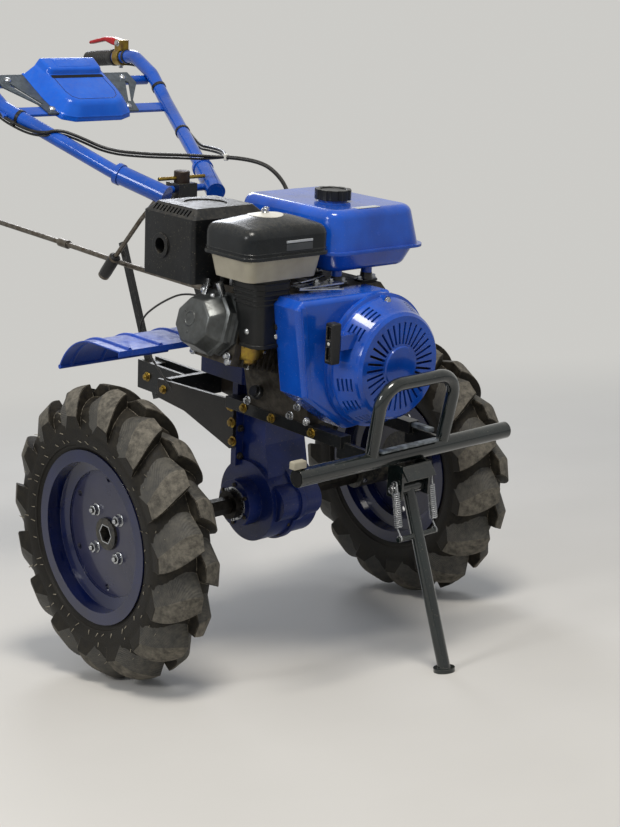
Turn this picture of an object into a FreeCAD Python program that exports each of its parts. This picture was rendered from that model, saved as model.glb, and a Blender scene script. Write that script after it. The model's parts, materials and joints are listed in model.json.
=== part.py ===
"""Walk-behind power tiller: petrol engine, gear case, two lugged wheels, handlebar and front stand.

Millimetres. All places are first given in the machine's own axes, with the engine level:
origin in the middle of the wheel axle, +X to the machine's left, +Y to the rear, +Z up.
At the end the whole machine is turned nose-down about its axle, as it stands on its front
stand, and set on the floor z = 0 with the middle of its length at y = 0.
"""
import FreeCAD, Part
import math
import os

os.makedirs("parts", exist_ok=True)
V = FreeCAD.Vector
X_AXIS, Y_AXIS, Z_AXIS = V(1, 0, 0), V(0, 1, 0), V(0, 0, 1)

# Stance
nose_down_deg = 10.0          # the machine leans forward on its front stand

# Wheels: 5.00-12 lugged tyres on deep-dished steel rims
half_track = 400.0            # machine's centre to a wheel's centre plane
tyre_radius = 295.0           # over the lugs
tyre_casing_radius = 270.0
tyre_half_width = 62.0        # casing; the lugs stand out further
lug_reach = 69.0
bead_radius = 153.0
rim_flange_radius = 173.0
rim_half_width = 50.0
rim_sheet = 4.0
disc_offset = 12.0            # disc's outer face, outboard of the wheel's centre plane
disc_thickness = 6.0
lug_count = 15                # on each side of the tread
tread_facets = 30             # flat facets round the casing
lug_end_deg = 3.0             # half of a lug's width at the tread's middle, round the tyre
# sections of a left lug, from the tread's middle to its shoulder: x outward, where its top begins and ends
# round the tyre (degrees, rearward on top of the wheel) and how far it lies under the tyre's radius; then
# the same four for its foot, under the casing's radius. It rises on a long ramp and ends in a steep wall.
lug_sections = [
    (0, lug_end_deg, -lug_end_deg, 0, -2, 15.0, -4.5, 10),
    (lug_reach - 37, 3.2, -6.2, 8, tyre_half_width - 34, 16.5, -8.0, 16),
    (lug_reach - 15, 0.0, -9.5, 27, tyre_half_width - 12, 13.0, -11.0, 36),
    (lug_reach, -4.5, -12.0, 54, tyre_half_width - 5, 6.0, -13.0, 70),
]
disc_hole_count = 6
disc_hole_circle = 112.0
disc_hole_radius = 6.5
hub_flange_radius = 72.0
hub_flange_thickness = 8.0
hub_spigot_radius = 32.0
hub_bolt_count = 4
hub_bolt_circle = 55.0
hub_bolt_radius = 6.0
bolt_clearance = 0.5

# Axle
hex_across_flats = 32.0
axle_clearance = 0.05
axle_journal_radius = 24.0
hub_tube_radius = 23.0
collar_radius = 30.0

# Gear case
case_half_width = 62.0
case_boss_radius = 86.0
case_boss_half_width = 95.0
case_flange_radius = 50.0
case_seam = 6.0               # flange between the case's halves: how far it stands out, and half its width
case_lobe_y = -70.0
case_lobe_z = 10.0
case_lobe_radius = 38.0
case_neck_front = -44.0
case_neck_rear = 62.0
case_top_z = 432.0
case_head_rear = 150.0
case_head_half_width = 78.0

# Engine, placed by its crankshaft, which points along Y
crank_z = 360.0
engine_base_z = crank_z - 133.0
block_front = -228.0
block_rear = -46.0
cylinder_front = -174.0
cylinder_rear = -52.0
clutch_radius = 104.0
cylinder_tilt_deg = 15.0
cylinder_reach = 248.0        # crankshaft to the head's outer face
rocker_depth = 34.0
rocker_half_height = 60.0
crankcase_half_width = 118.0
crankcase_rise = 132.0        # crankshaft to the crankcase's top
cylinder_half_height = 72.0
fin_depth, fin_pitch, fin_thickness = 7.0, 13.0, 4.0
shroud_front = -300.0
shroud_radius = 131.0
recoil_front = -364.0
recoil_base_radius = 124.0
recoil_face_radius = 104.0
recoil_slot_count = 34
recoil_slot_inner = 44.0
recoil_slot_outer = 86.0
recoil_slot_width = 4.6
recoil_side_angles = (28, 52, 76, 104, 128, 152)      # groups of slots, from the top
recoil_side_slot = (26.0, 3.4)                        # length and width
pull_x, pull_z = -144.0, 417.0
pull_length, pull_width, pull_depth = 78.0, 26.0, 22.0

# Fuel tank
tank_x0, tank_x1 = -80.0, 168.0
tank_y0, tank_y1 = -246.0, 62.0
tank_bottom, tank_seam, tank_top = 520.0, 561.0, 640.0
tank_seam_lip = 8.0
tank_corner, tank_edge = 34.0, 20.0
tank_draft = 14.0
tank_legs = ((-24, -200), (56, -200), (10, -90))      # x, y
tank_leg_radius = 11.0
cap_x, cap_y = 25.0, -127.0
cap_radius = 36.0
cap_height = 24.0
cap_lobes = 10
cap_notch_radius = 6.5

# Air filter and muffler, on the cylinder's side
filter_x0, filter_x1 = -285.0, -92.0
filter_y0, filter_y1 = -250.0, -114.0
filter_top, filter_rim, band_bottom = 632.0, 566.0, 524.0
filter_drop_x, filter_drop = -170.0, 20.0        # the top curves down from here toward the tank
band_inset = 10.0
duct_x0, duct_x1 = -236.0, -158.0
duct_y0 = -226.0                # its rear lies on the cylinder
duct_bottom = 398.0
duct_ribs = 3
bowl_radius = 21.0
bowl_height = 40.0
muffler_x0, muffler_x1 = -286.0, -108.0
muffler_y0, muffler_y1 = -86.0, 72.0
muffler_z0, muffler_z1 = 496.0, 636.0
muffler_corner, muffler_slope = 8.0, 18.0
muffler_slot_count = 11
outlet_radius = 15.0
outlet_y, outlet_z = 14.0, 556.0
exhaust_x, exhaust_y = -205.0, -74.0
exhaust_radius = 19.0

# Engine frame and front bumper
rail_x = 92.0
rail_width = 26.0
rail_height = 24.0
rail_top = engine_base_z
rail_front, rail_rear = -322.0, 26.0
rail_foot = 32.0
bar_y, bar_z = -395.0, 197.0
bar_length = 558.0
bar_radius = 17.0
loop_half_width = 94.0
loop_height = 150.0
loop_lean = 26.0
loop_bend = 46.0
loop_radius = 13.0
strut_height = 34.0
strut_thickness = 8.0

# Front stand
stand_pivot_y, stand_pivot_z = -404.0, 132.0
stand_foot_y = -532.0
stand_leg_radius = 12.5
stand_bracket_half_width = 38.0
stand_bracket_sheet = 5.0
stand_pin_radius = 6.0
stand_pin_clearance = 0.05
foot_radius = 21.0
foot_thickness = 8.0
spring_x = 47.0
spring_radius = 6.5
spring_wire = 1.6
spring_pin_y, spring_pin_z = -416.0, 150.0
spring_foot = 95.0            # along the leg, from its pivot to the lower pin

# Rear gussets, hitch and drag post
gusset_x = 72.0
gusset_sheet = 8.0
hitch_half_gap = 20.0
hitch_sheet = 8.0
hitch_y0, hitch_y1 = 262.0, 436.0
hitch_z0, hitch_z1 = 140.0, 205.0
hitch_pin_radius = 8.0
hitch_pin_y, hitch_pin_z = 322.0, 172.0
post_width = 16.0
post_thickness = 12.0
socket_depth = 24.0
post_foot = (398.0, 118.0)    # y, z
post_head = (540.0, 452.0)

# Fenders: flat over the wheel, then round its rear
fender_x0, fender_x1 = 126.0, 394.0
fender_front = -2.0
fender_turn_y, fender_turn_radius = 85.0, 127.0
fender_z = 364.0
fender_sheet = 3.0
fender_rear_deg = 25.0        # where the arc ends, above level
fender_lip = 12.0
fender_ribs = (205.0, 294.0, 367.0)
fender_rib_radius = 5.0

# Handlebar: hinge, tubes and console
hinge_y, hinge_z = 326.0, 603.0
hinge_rod_radius = 8.0
hinge_clearance = 0.05
column_half_width = 22.0
column_foot_y, column_foot_z = 150.0, 330.0
head_half_width = 24.0
sleeve_radius = 21.0
tube_radius = 15.5
grip_radius = 19.0
grip_length = 120.0
# x, y, z of the left handle tube from its sleeve to its rear end, tied to the hinge
handle_route = [(66, hinge_y - 36, hinge_z - 7), (120, hinge_y + 89, hinge_z + 34),
                (222, hinge_y + 358, hinge_z + 143), (238, hinge_y + 436, hinge_z + 200),
                (246, hinge_y + 520, hinge_z + 235), (254, hinge_y + 720, hinge_z + 213)]
handle_bend = 60.0
cross_y, cross_z = hinge_y + 454.0, hinge_z + 194.0
strap_y, strap_z = hinge_y + 345.0, hinge_z + 135.0
plate_sheet = 4.0
strap_sheet = 6.0
strap_half_width = 14.0
cross_radius = 11.0
# console outlines as (x, distance behind the strap)
wing_plan = [(84, -18), (122, -18), (130, 22), (184, 92), (184, 136), (84, 136)]
wing_slot = [(116, 20), (124, 18), (164, 96), (156, 100)]
cover_plan = [(88, -28), (100, -8), (106, 40), (106, 140)]
cover_top_plan = [(66, -10), (74, 0), (78, 40), (80, 136)]
cover_rise = 30.0
crown_plan = [(64, 82), (80, 140)]
crown_rise = 46.0

# Controls
shift_rod_x = -36.0
shift_rod_radius = 6.0
# z and y of the shift rod's points
shift_rod_route = [(412.0, case_head_rear + 0.3), (415.0, 467.0), (424.0, 776.0), (430.0, 1070.0)]
shift_grip = (1044.0, 500.0)  # y, z of the grip's end
shift_grip_radius = 13.0
clamp_route = [(-46, hinge_y, hinge_z), (-58, hinge_y + 68, hinge_z - 74),
               (-68, hinge_y + 147, hinge_z - 168)]
clamp_end = (-68, hinge_y + 190, hinge_z - 217)
throttle_x0, throttle_x1 = -150.0, -38.0
throttle_y = -238.0

# Cables
cable_radius = 3.5
thin_cable_radius = 2.2
cable_beside = (17.5, 0.0, -9.5)    # from a handle tube's line to the cable's, outward and down
cable_clip = (82, hinge_y - 47, hinge_z + 69)
# how each cable comes from the clip to its tube, and where along the tube's first straight it joins it
right_cable_run = [(52, hinge_y - 14, hinge_z + 69), (20, hinge_y + 18, hinge_z + 69),
                   (-36, hinge_y + 83, hinge_z + 66), (-90, hinge_y + 147, hinge_z + 69),
                   (-140, hinge_y + 190, hinge_z + 97), (-172, hinge_y + 215, hinge_z + 109),
                   (-199, hinge_y + 233, hinge_z + 100)]
left_cable_run = [(115, hinge_y - 6, hinge_z + 62), (158, hinge_y + 55, hinge_z + 66),
                  (188, hinge_y + 115, hinge_z + 72)]
right_cable_joins, left_cable_joins = 0.74, 0.36
engine_cable_route = [(68, 92, case_top_z - 6), (70, 92, 500), (104, 84, 600), (131, 150, 643),
                      (118, 214, 674), cable_clip]
gear_cable_route = [(-case_head_half_width + 3, 118, 404), (-108, 150, 424), (-108, 250, 380),
                    (-100, 338, 322), (-98, 318, 262), (-gusset_x - gusset_sheet + 3, 232, 176)]

SIDES = (("right", -1), ("left", 1))
NODES = {}


def box(x0, x1, y0, y1, z0, z1):
    return Part.makeBox(x1 - x0, y1 - y0, z1 - z0, V(x0, y0, z0))


def rod(start, end, radius):
    a, b = V(*start), V(*end)
    return Part.makeCylinder(radius, (b - a).Length, a, b - a)


def prism_x(points, x0, x1):
    """A closed outline of (y, z) points, as thick as x0 to x1."""
    wire = Part.makePolygon([V(x0, y, z) for y, z in points] + [V(x0, *points[0])])
    return Part.Face(wire).extrude(V(x1 - x0, 0, 0))


def prism_y(points, y0, y1):
    """A closed outline of (x, z) points, as deep as y0 to y1."""
    wire = Part.makePolygon([V(x, y0, z) for x, z in points] + [V(points[0][0], y0, points[0][1])])
    return Part.Face(wire).extrude(V(0, y1 - y0, 0))


def bent_wire(points, bend=None):
    """Straight runs through the points, with a tangent arc at each inner one.

    The bend is one radius, or a list of them. Where it is None, the arc takes as much of its shorter run
    as leaves room for the next.
    """
    pts = [V(*p) for p in points]
    bends = bend if isinstance(bend, list) else [bend] * (len(pts) - 2)
    edges = []
    start = pts[0]
    for before, corner, after, given in zip(pts[:-2], pts[1:-1], pts[2:], bends):
        shorter = min((before - corner).Length, (after - corner).Length)
        u = (before - corner).normalize()
        w = (after - corner).normalize()
        half = (math.pi - u.getAngle(w)) / 2
        radius = given or 0.45 * shorter / math.tan(half)
        back = radius * math.tan(half)
        p, q = corner + u * back, corner + w * back
        middle_way = (u + w).normalize()
        centre = corner + middle_way * (radius / math.cos(half))
        edges.append(Part.LineSegment(start, p).toShape())
        edges.append(Part.Arc(p, centre - middle_way * radius, q).toShape())
        start = q
    edges.append(Part.LineSegment(start, pts[-1]).toShape())
    return Part.Wire(edges)


def bent_rod(points, radius, bend=None):
    wire = bent_wire(points, bend)
    first = V(*points[1]) - V(*points[0])
    ring = Part.Wire([Part.Circle(V(*points[0]), first, radius).toShape()])
    return wire.makePipeShell([ring], True, False)


def revolve_x(profile, x_centre=0.0):
    """A solid of revolution about the axle, from (x, radius) points."""
    wire = Part.makePolygon([V(x + x_centre, 0, r) for x, r in profile]
                            + [V(profile[0][0] + x_centre, 0, profile[0][1])])
    return Part.Face(wire).revolve(V(0, 0, 0), X_AXIS, 360)


def hexagon_bar(x0, x1):
    corner = hex_across_flats / math.sqrt(3)
    turns = [math.radians(60 * k) for k in range(6)]
    return prism_x([(corner * math.cos(a), corner * math.sin(a)) for a in turns], x0, x1)


def fuse(shapes):
    first, rest = shapes[0], shapes[1:]
    return first.multiFuse(rest) if rest else first


def add(name, shape):
    NODES[name] = shape.removeSplitter() if len(shape.Solids) == 1 else shape


def mirrored(shape):
    return shape.mirror(V(0, 0, 0), X_AXIS)


def faceted_ring(profile, count):
    """A ring about the axle with flat facets, from (x, radius) points."""
    turn = 2 * math.pi / count

    def corner(k, point):
        return V(point[0], point[1] * math.cos(turn * k), point[1] * math.sin(turn * k))

    faces = []
    for k in range(count):
        for a, b in zip(profile, profile[1:] + profile[:1]):
            ring = [corner(k, a), corner(k, b), corner(k + 1, b), corner(k + 1, a)]
            faces.append(Part.Face(Part.makePolygon(ring + [ring[0]])))
    return Part.makeSolid(Part.makeShell(faces))


def ridge(sections):
    """A solid with three-cornered faces through closed sections that have as many points each."""
    rows = []
    for near, far in zip(sections, sections[1:]):
        for i in range(len(near)):
            j = (i + 1) % len(near)
            rows += [(near[i], near[j], far[j]), (near[i], far[j], far[i])]
    for end in (sections[0], sections[-1]):
        rows += [(end[0], end[i], end[i + 1]) for i in range(1, len(end) - 1)]
    faces = [Part.Face(Part.makePolygon([a, b, c, a])) for a, b, c in rows]
    return Part.makeSolid(Part.makeShell(faces))


def between_outlines(low, top):
    """A solid with flat or gently twisted sides between two closed outlines of 3-D points."""
    wires = [Part.makePolygon([V(*p) for p in points + [points[0]]]) for points in (low, top)]
    return Part.makeLoft(wires, True, True)


def frustum(points, z0, z1, spread):
    """An outline of (x, y) points at z1, and the same outline grown by the spread at z0."""
    cx = sum(x for x, _ in points) / len(points)
    cy = sum(y for _, y in points) / len(points)
    low = [V(cx + (x - cx) * spread, cy + (y - cy) * spread, z0) for x, y in points]
    top = [V(x, y, z1) for x, y in points]
    faces = [Part.Face(Part.makePolygon(low + [low[0]])), Part.Face(Part.makePolygon(top + [top[0]]))]
    for i in range(len(points)):
        j = (i + 1) % len(points)
        faces.append(Part.Face(Part.makePolygon([low[i], low[j], top[j], top[i], low[i]])))
    return Part.makeSolid(Part.makeShell(faces))


def upright_edges(shape):
    return [edge for edge in shape.Edges if abs(edge.tangentAt(edge.FirstParameter).z) > 0.9]


def rounded_outline(x0, x1, y0, y1, z, corner):
    slab = box(x0, x1, y0, y1, z, z + 10)
    slab = slab.makeFillet(corner, upright_edges(slab))
    low = [face for face in slab.Faces if face.BoundBox.ZMax < z + 0.001]
    return low[0].OuterWire


def rounded_loft(x0, x1, y0, y1, z0, z1, corner, inset0, inset1):
    """A block with round upright corners whose sides lean in by the insets."""
    wires = [rounded_outline(x0 + inset, x1 - inset, y0 + inset, y1 - inset, z, corner)
             for inset, z in ((inset0, z0), (inset1, z1))]
    return Part.makeLoft(wires, True, True)


def circle_of(shape, count, centre, axis, first=0.0):
    """Copies of a shape, evenly round an axis."""
    copies = []
    for k in range(count):
        copy = shape.copy()
        copy.rotate(V(*centre), axis, first + 360 / count * k)
        copies.append(copy)
    return copies


# Wheels
def lug(side):
    """A lug of one row, over the top of the wheel: a ramp, a top that follows the crown, a steep wall."""
    sections = []
    for x, lead, trail, drop, foot_x, foot_lead, foot_trail, foot_drop in lug_sections:
        top, foot = tyre_radius - drop, tyre_casing_radius - foot_drop
        corners = ((foot_x, foot_lead, foot), (x, lead, top), (x, trail, top), (foot_x, foot_trail, foot))
        sections.append([V(side * across, radius * math.sin(math.radians(turn)),
                           radius * math.cos(math.radians(turn))) for across, turn, radius in corners])
    return ridge(sections)


def tyre():
    """A left tyre: a round casing, and lugs in two staggered rows that sweep back to the shoulders."""
    w, r, b, foot = tyre_half_width, tyre_casing_radius, rim_half_width, rim_flange_radius + 2
    half = [(w, r - 62), (w - 6, r - 34), (w - 26, r - 13)]
    outside = [(-x, z) for x, z in half] + [(0, r - 1)] + half[::-1]
    profile = [(-b, bead_radius - 3), (-b, foot)] + outside + [(b, foot), (b, bead_radius - 3)]
    solids = [faceted_ring(profile, tread_facets)]
    row_step = 180 / lug_count
    first = (180 + nose_down_deg - lug_end_deg) % row_step      # one lug's corner meets the floor
    for side, turn in ((-1, first), (1, first + row_step)):
        solids += circle_of(lug(side), lug_count, (0, 0, 0), V(-1, 0, 0), turn)
    shape = fuse(solids).cut(rod((-w, 0, 0), (w, 0, 0), bead_radius))
    shape.translate(V(half_track, 0, 0))
    return shape


def rim():
    """A left rim: dished barrel with flanges, and the disc with its ring of holes."""
    w, f, b, s = rim_half_width, rim_flange_radius, bead_radius, rim_sheet
    drop = b - 22
    barrel = revolve_x([(-w - s, f), (-w - s, b - s), (-22, b - s), (-16, drop - s), (16, drop - s),
                        (24, b - s), (w + s, b - s), (w + s, f), (w, f), (w, b), (22, b), (14, drop),
                        (-14, drop), (-20, b), (-w, b), (-w, f)])
    face, back, spigot = disc_offset, disc_offset - disc_thickness, hub_spigot_radius
    disc = revolve_x([(back, spigot), (face, spigot), (face, drop - s + 1), (back, drop - s + 1)])
    shape = fuse([barrel, disc])
    holes = []
    for count, first, circle, radius in (
            (disc_hole_count, 90, disc_hole_circle, disc_hole_radius),
            (hub_bolt_count, 45, hub_bolt_circle, hub_bolt_radius + bolt_clearance)):
        hole = rod((back - disc_thickness, 0, circle), (face + disc_thickness, 0, circle), radius)
        holes += circle_of(hole, count, (0, 0, 0), X_AXIS, first - 90)
    shape = shape.cut(fuse(holes))
    shape.translate(V(half_track, 0, 0))
    return shape


def hub():
    """A left hub: flange on the disc's inner face, four bolts, and the tube that slides on the hexagon."""
    face = half_track + disc_offset
    inner = face - disc_thickness
    flange = rod((inner - hub_flange_thickness, 0, 0), (inner, 0, 0), hub_flange_radius)
    spigot = rod((inner - 1, 0, 0), (face + 6, 0, 0), hub_spigot_radius)
    barrel = rod((face - 170, 0, 0), (inner, 0, 0), hub_tube_radius + 6)
    pieces = [flange, spigot, barrel]
    for k in range(hub_bolt_count):
        a = math.radians(45 + 360 / hub_bolt_count * k)
        y, z = hub_bolt_circle * math.cos(a), hub_bolt_circle * math.sin(a)
        pieces.append(rod((face, y, z), (face + 9, y, z), hub_bolt_radius + 3))
        pieces.append(rod((inner - 1, y, z), (face + 13, y, z), hub_bolt_radius))
    bore = hexagon_bar(face - 171, face + 7)
    return fuse(pieces).cut(bore)


def axle_shaft():
    """The hexagon shaft from hub to hub, with a round journal where it turns in the gear case."""
    end = half_track + disc_offset - 20
    bar = hexagon_bar(-end, end)
    journal_end = case_boss_half_width + 3
    journal = rod((-journal_end, 0, 0), (journal_end, 0, 0), axle_journal_radius)
    pieces = [bar, journal]
    for side in (-1, 1):
        pieces.append(rod((side * journal_end, 0, 0), (side * (journal_end + 15), 0, 0), collar_radius))
    return fuse(pieces)


# Gear case
def gearbox_case():
    w = case_half_width
    boss = rod((-w, 0, 0), (w, 0, 0), case_boss_radius)
    ends = rod((-case_boss_half_width, 0, 0), (case_boss_half_width, 0, 0), case_flange_radius)
    lobe = rod((-w + 10, case_lobe_y, case_lobe_z), (w - 10, case_lobe_y, case_lobe_z), case_lobe_radius)
    seams = [rod((-case_seam, y, z), (case_seam, y, z), radius + case_seam)
             for y, z, radius in ((0, 0, case_boss_radius), (case_lobe_y, case_lobe_z, case_lobe_radius))]
    neck = prism_x([(case_neck_front - 28, 0), (case_neck_front, 130), (case_neck_front, 250),
                    (case_neck_rear, 250), (case_neck_rear, 40), (80, 0)], -w + 8, w - 8)
    head = box(-case_head_half_width, case_head_half_width, 0, case_head_rear, 250, case_top_z)
    head = head.makeFillet(10, upright_edges(head))
    flange = box(-gusset_x, gusset_x, case_neck_rear - 34, case_neck_rear - 18, 70, 262)
    shape = fuse([boss, ends, lobe, neck, head, flange] + seams)
    bore = rod((-case_boss_half_width - 1, 0, 0), (case_boss_half_width + 1, 0, 0),
               axle_journal_radius + axle_clearance)
    return shape.cut(bore)


def clutch_housing():
    """The bell between the engine and the gear case, with its two bolting flanges."""
    bell = rod((0, block_rear, crank_z), (0, 0, crank_z), clutch_radius)
    rims = [rod((0, y, crank_z), (0, y + 8, crank_z), clutch_radius + 5) for y in (block_rear, -8)]
    return fuse([bell] + rims)


# Engine
def on_cylinder(shape):
    """From the cylinder's own axes, with Z along its bore, to the machine's."""
    shape.rotate(V(0, 0, 0), Y_AXIS, cylinder_tilt_deg - 90)
    shape.translate(V(0, 0, crank_z))
    return shape


def engine_block():
    w = crankcase_half_width
    low, top = engine_base_z, crank_z + crankcase_rise
    outline = [(-w + 14, low), (w - 14, low), (w, low + 73), (w, top - 52), (w - 48, top),
               (-w + 58, top), (-w, top - 52), (-w, low + 73)]
    case = prism_y(outline, block_front, block_rear)
    h = cylinder_half_height
    core = h - fin_depth
    barrel = box(-core, core, cylinder_front + fin_depth, cylinder_rear - fin_depth, 60, cylinder_reach)
    head_plate = box(-h, h, cylinder_front, cylinder_rear, cylinder_reach - 16, cylinder_reach)
    pieces = [barrel, head_plate]
    reach = cylinder_reach - 16 - fin_pitch
    while reach > w + 8:
        pieces.append(box(-h, h, cylinder_front, cylinder_rear, reach, reach + fin_thickness))
        reach -= fin_pitch
    port = box(-18, 34, cylinder_front - 30, cylinder_front + fin_depth,
               cylinder_reach - 52, cylinder_reach - 6)
    return fuse([case, on_cylinder(fuse(pieces + [port]))])


def rocker_cover():
    """A domed cover on the head: a flange, a leaning octagon and a round boss on its face."""
    y0, y1, h, corner = cylinder_front + 6, cylinder_rear - 2, rocker_half_height, 18.0
    low, top = cylinder_reach, cylinder_reach + rocker_depth
    flange = box(-h, h, y0, y1, low, low + 7)
    a, b, c = h - 10, y0 + 10, y1 - 10
    face = [(-a, b + corner), (corner - a, b), (a - corner, b), (a, b + corner),
            (a, c - corner), (a - corner, c), (corner - a, c), (-a, c - corner)]
    dome = frustum(face, low + 6, top, 1.14)
    dome = dome.makeFillet(6, [edge for edge in dome.Edges if edge.BoundBox.ZMin > top - 1])
    middle = (y0 + y1) / 2
    boss = rod((6, middle, low + 6), (6, middle, top + 5), 15)
    well = rod((6, middle, top - 2), (6, middle, top + 6), 9)
    return on_cylinder(fuse([flange, dome, boss]).cut(well))


def fan_shroud():
    """The round fan housing, and the flat panel that leads its air over the cylinder."""
    ring = rod((0, shroud_front, crank_z), (0, block_front, crank_z), shroud_radius)
    top = crank_z + crankcase_rise
    outline = [(-205, top - 14), (-190, top), (30, top), (30, crank_z),
               (-40, engine_base_z + 7), (-73, engine_base_z + 5), (-180, crank_z - 52)]
    side = prism_y(outline, shroud_front + 4, block_front)
    front = []
    for edge in side.Edges:
        place = edge.BoundBox
        inside = place.XMin > 29 or place.ZMin < crank_z - 60 and place.XMax > -41
        if place.YMax < shroud_front + 5 and not inside:
            front.append(edge)
    side = side.makeFillet(10, front)
    crease = prism_y([(-197, top - 10), (-186, top - 10), (-162, crank_z - 58), (-172, crank_z - 52)],
                     shroud_front + 1, shroud_front + 6)
    return fuse([ring, side, crease])


def recoil_cover():
    """The starter's cover: a cone with slots round its side, radial slots in its face and a flat hub."""
    front, back, c = recoil_front, shroud_front, crank_z
    base, face, hub = recoil_base_radius, recoil_face_radius, recoil_slot_inner
    profile = [(0, back), (shroud_radius, back), (shroud_radius, back - 4), (base, back - 6),
               (base, back - 12), (face + 2, front + 13), (face, front + 6), (face - 6, front),
               (hub - 4, front), (hub - 6, front - 3), (0, front - 3)]
    wire = Part.makePolygon([V(r, y, c) for r, y in profile + profile[:1]])
    cone = Part.Face(wire).revolve(V(0, 0, c), Y_AXIS, 360)
    spout = box(-base - 10, -face + 10, back - 40, back - 12, pull_z - 14, pull_z + 14)
    screw = rod((0, back - 20, c + base - 4), (0, back, c + base - 4), 9)
    half = recoil_slot_width / 2
    face_slot = box(recoil_slot_inner, recoil_slot_outer, front - 4, front + 8, c - half, c + half)
    slots = circle_of(face_slot, recoil_slot_count, (0, 0, c), Y_AXIS)
    length, width = recoil_side_slot
    for row in range(4):
        y = back - 18 - 8 * row
        side_slot = box(-length / 2, length / 2, y - width, y, c + 102, c + 125)
        for angle in recoil_side_angles:
            for side in (-1, 1):
                if side * angle != -76:
                    slots += circle_of(side_slot, 1, (0, 0, c), Y_AXIS, side * angle)
    return fuse([cone, spout, screw]).cut(Part.makeCompound(slots))


def recoil_handle():
    """The T-shaped pull, with a recess above and below the rope's knot."""
    x, z = pull_x, pull_z
    w, d, h = pull_width / 2, pull_depth, pull_length / 2
    y0 = shroud_front - 42
    grip_block = box(x - w, x + w - 4, y0, y0 + d, z - h, z + h)
    grip_block = grip_block.makeFillet(4, grip_block.Edges)
    recesses = [box(x - w - 1, x - w + 8, y0 + 5, y0 + d - 5, z + a, z + b)
                for a, b in ((-h + 7, -7), (7, h - 7))]
    neck = rod((x, y0 + d / 2, z), (-recoil_base_radius - 10, y0 + d / 2, z), 7)
    return fuse([grip_block, neck]).cut(Part.makeCompound(recesses))


# Fuel tank
def fuel_tank():
    """Two pressed halves with a seam lip between them, on three posts."""
    args = (tank_x0, tank_x1, tank_y0, tank_y1)
    upper = rounded_loft(*args, tank_seam, tank_top, tank_corner, 0, tank_draft)
    upper = upper.makeFillet(tank_edge, [e for e in upper.Edges if e.BoundBox.ZMin > tank_top - 1])
    x0, x1, y0, y1 = args
    lip = rounded_outline(x0 - tank_seam_lip, x1 + tank_seam_lip, y0 - tank_seam_lip, y1 + tank_seam_lip,
                          tank_seam - 2.5, tank_corner + tank_seam_lip)
    lip = Part.Face(lip).extrude(V(0, 0, 5))
    lower = rounded_loft(*args, tank_bottom, tank_seam, tank_corner, tank_draft + 8, 6)
    lower = lower.makeFillet(tank_edge - 2, [e for e in lower.Edges if e.BoundBox.ZMax < tank_bottom + 1])
    legs = [rod((x, y, crank_z + crankcase_rise), (x, y, tank_bottom + 8), tank_leg_radius)
            for x, y in tank_legs]
    neck = rod((cap_x, cap_y, tank_top - 8), (cap_x, cap_y, tank_top + 4), cap_radius - 7)
    return fuse([upper, lip, lower, neck] + legs)


def fuel_cap():
    """A lobed screw cap over the filler neck."""
    base, top, edge = tank_top + 4, tank_top + cap_height, cap_x + cap_radius + 3
    body = rod((cap_x, cap_y, base), (cap_x, cap_y, top), cap_radius)
    notch = rod((edge, cap_y, base - 1), (edge, cap_y, top + 1), cap_notch_radius)
    body = body.cut(Part.makeCompound(circle_of(notch, cap_lobes, (cap_x, cap_y, 0), Z_AXIS)))
    dish = rod((cap_x, cap_y, top - 2), (cap_x, cap_y, top + 1), cap_radius - 10)
    return body.cut(dish)


def muffler():
    """A pressed box with a slotted slope round its top, an outlet, and its pipe to the head."""
    x0, y0, z1 = muffler_x0, muffler_y0, muffler_z1
    shoulder = z1 - muffler_slope
    body = box(x0, muffler_x1, y0, muffler_y1, muffler_z0, shoulder)
    body = body.makeFillet(muffler_corner, upright_edges(body))
    slope = rounded_loft(x0, muffler_x1, y0, muffler_y1, shoulder, z1, muffler_corner, 0, muffler_slope)
    half = muffler_slope / 2
    slot = box(x0 + half - 7, x0 + half + 7, -2.5, 2.5, z1 - half - 4, z1 - half + 4)
    slot.rotate(V(x0 + half, 0, z1 - half), Y_AXIS, -45)
    run = (muffler_y1 - y0 - 2 * muffler_slope - 16) / (muffler_slot_count - 1)
    cuts = []
    for k in range(muffler_slot_count):
        copy = slot.copy()
        copy.translate(V(0, y0 + muffler_slope + 8 + run * k, 0))
        cuts.append(copy)
    dish = rod(((x0 + muffler_x1) / 2, (y0 + muffler_y1) / 2, z1 - 2.5),
               ((x0 + muffler_x1) / 2, (y0 + muffler_y1) / 2, z1 + 1), 42)
    ring = rod((x0 - 3, outlet_y, outlet_z), (x0 + 4, outlet_y, outlet_z), outlet_radius + 9)
    hole = rod((x0 - 4, outlet_y, outlet_z), (x0 + 40, outlet_y, outlet_z), outlet_radius)
    pipe = rod((exhaust_x, exhaust_y, 455), (exhaust_x, exhaust_y, muffler_z0 + 10), exhaust_radius)
    return fuse([body, slope, ring, pipe]).cut(Part.makeCompound(cuts + [dish, hole])).cut(engine_block())


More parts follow.
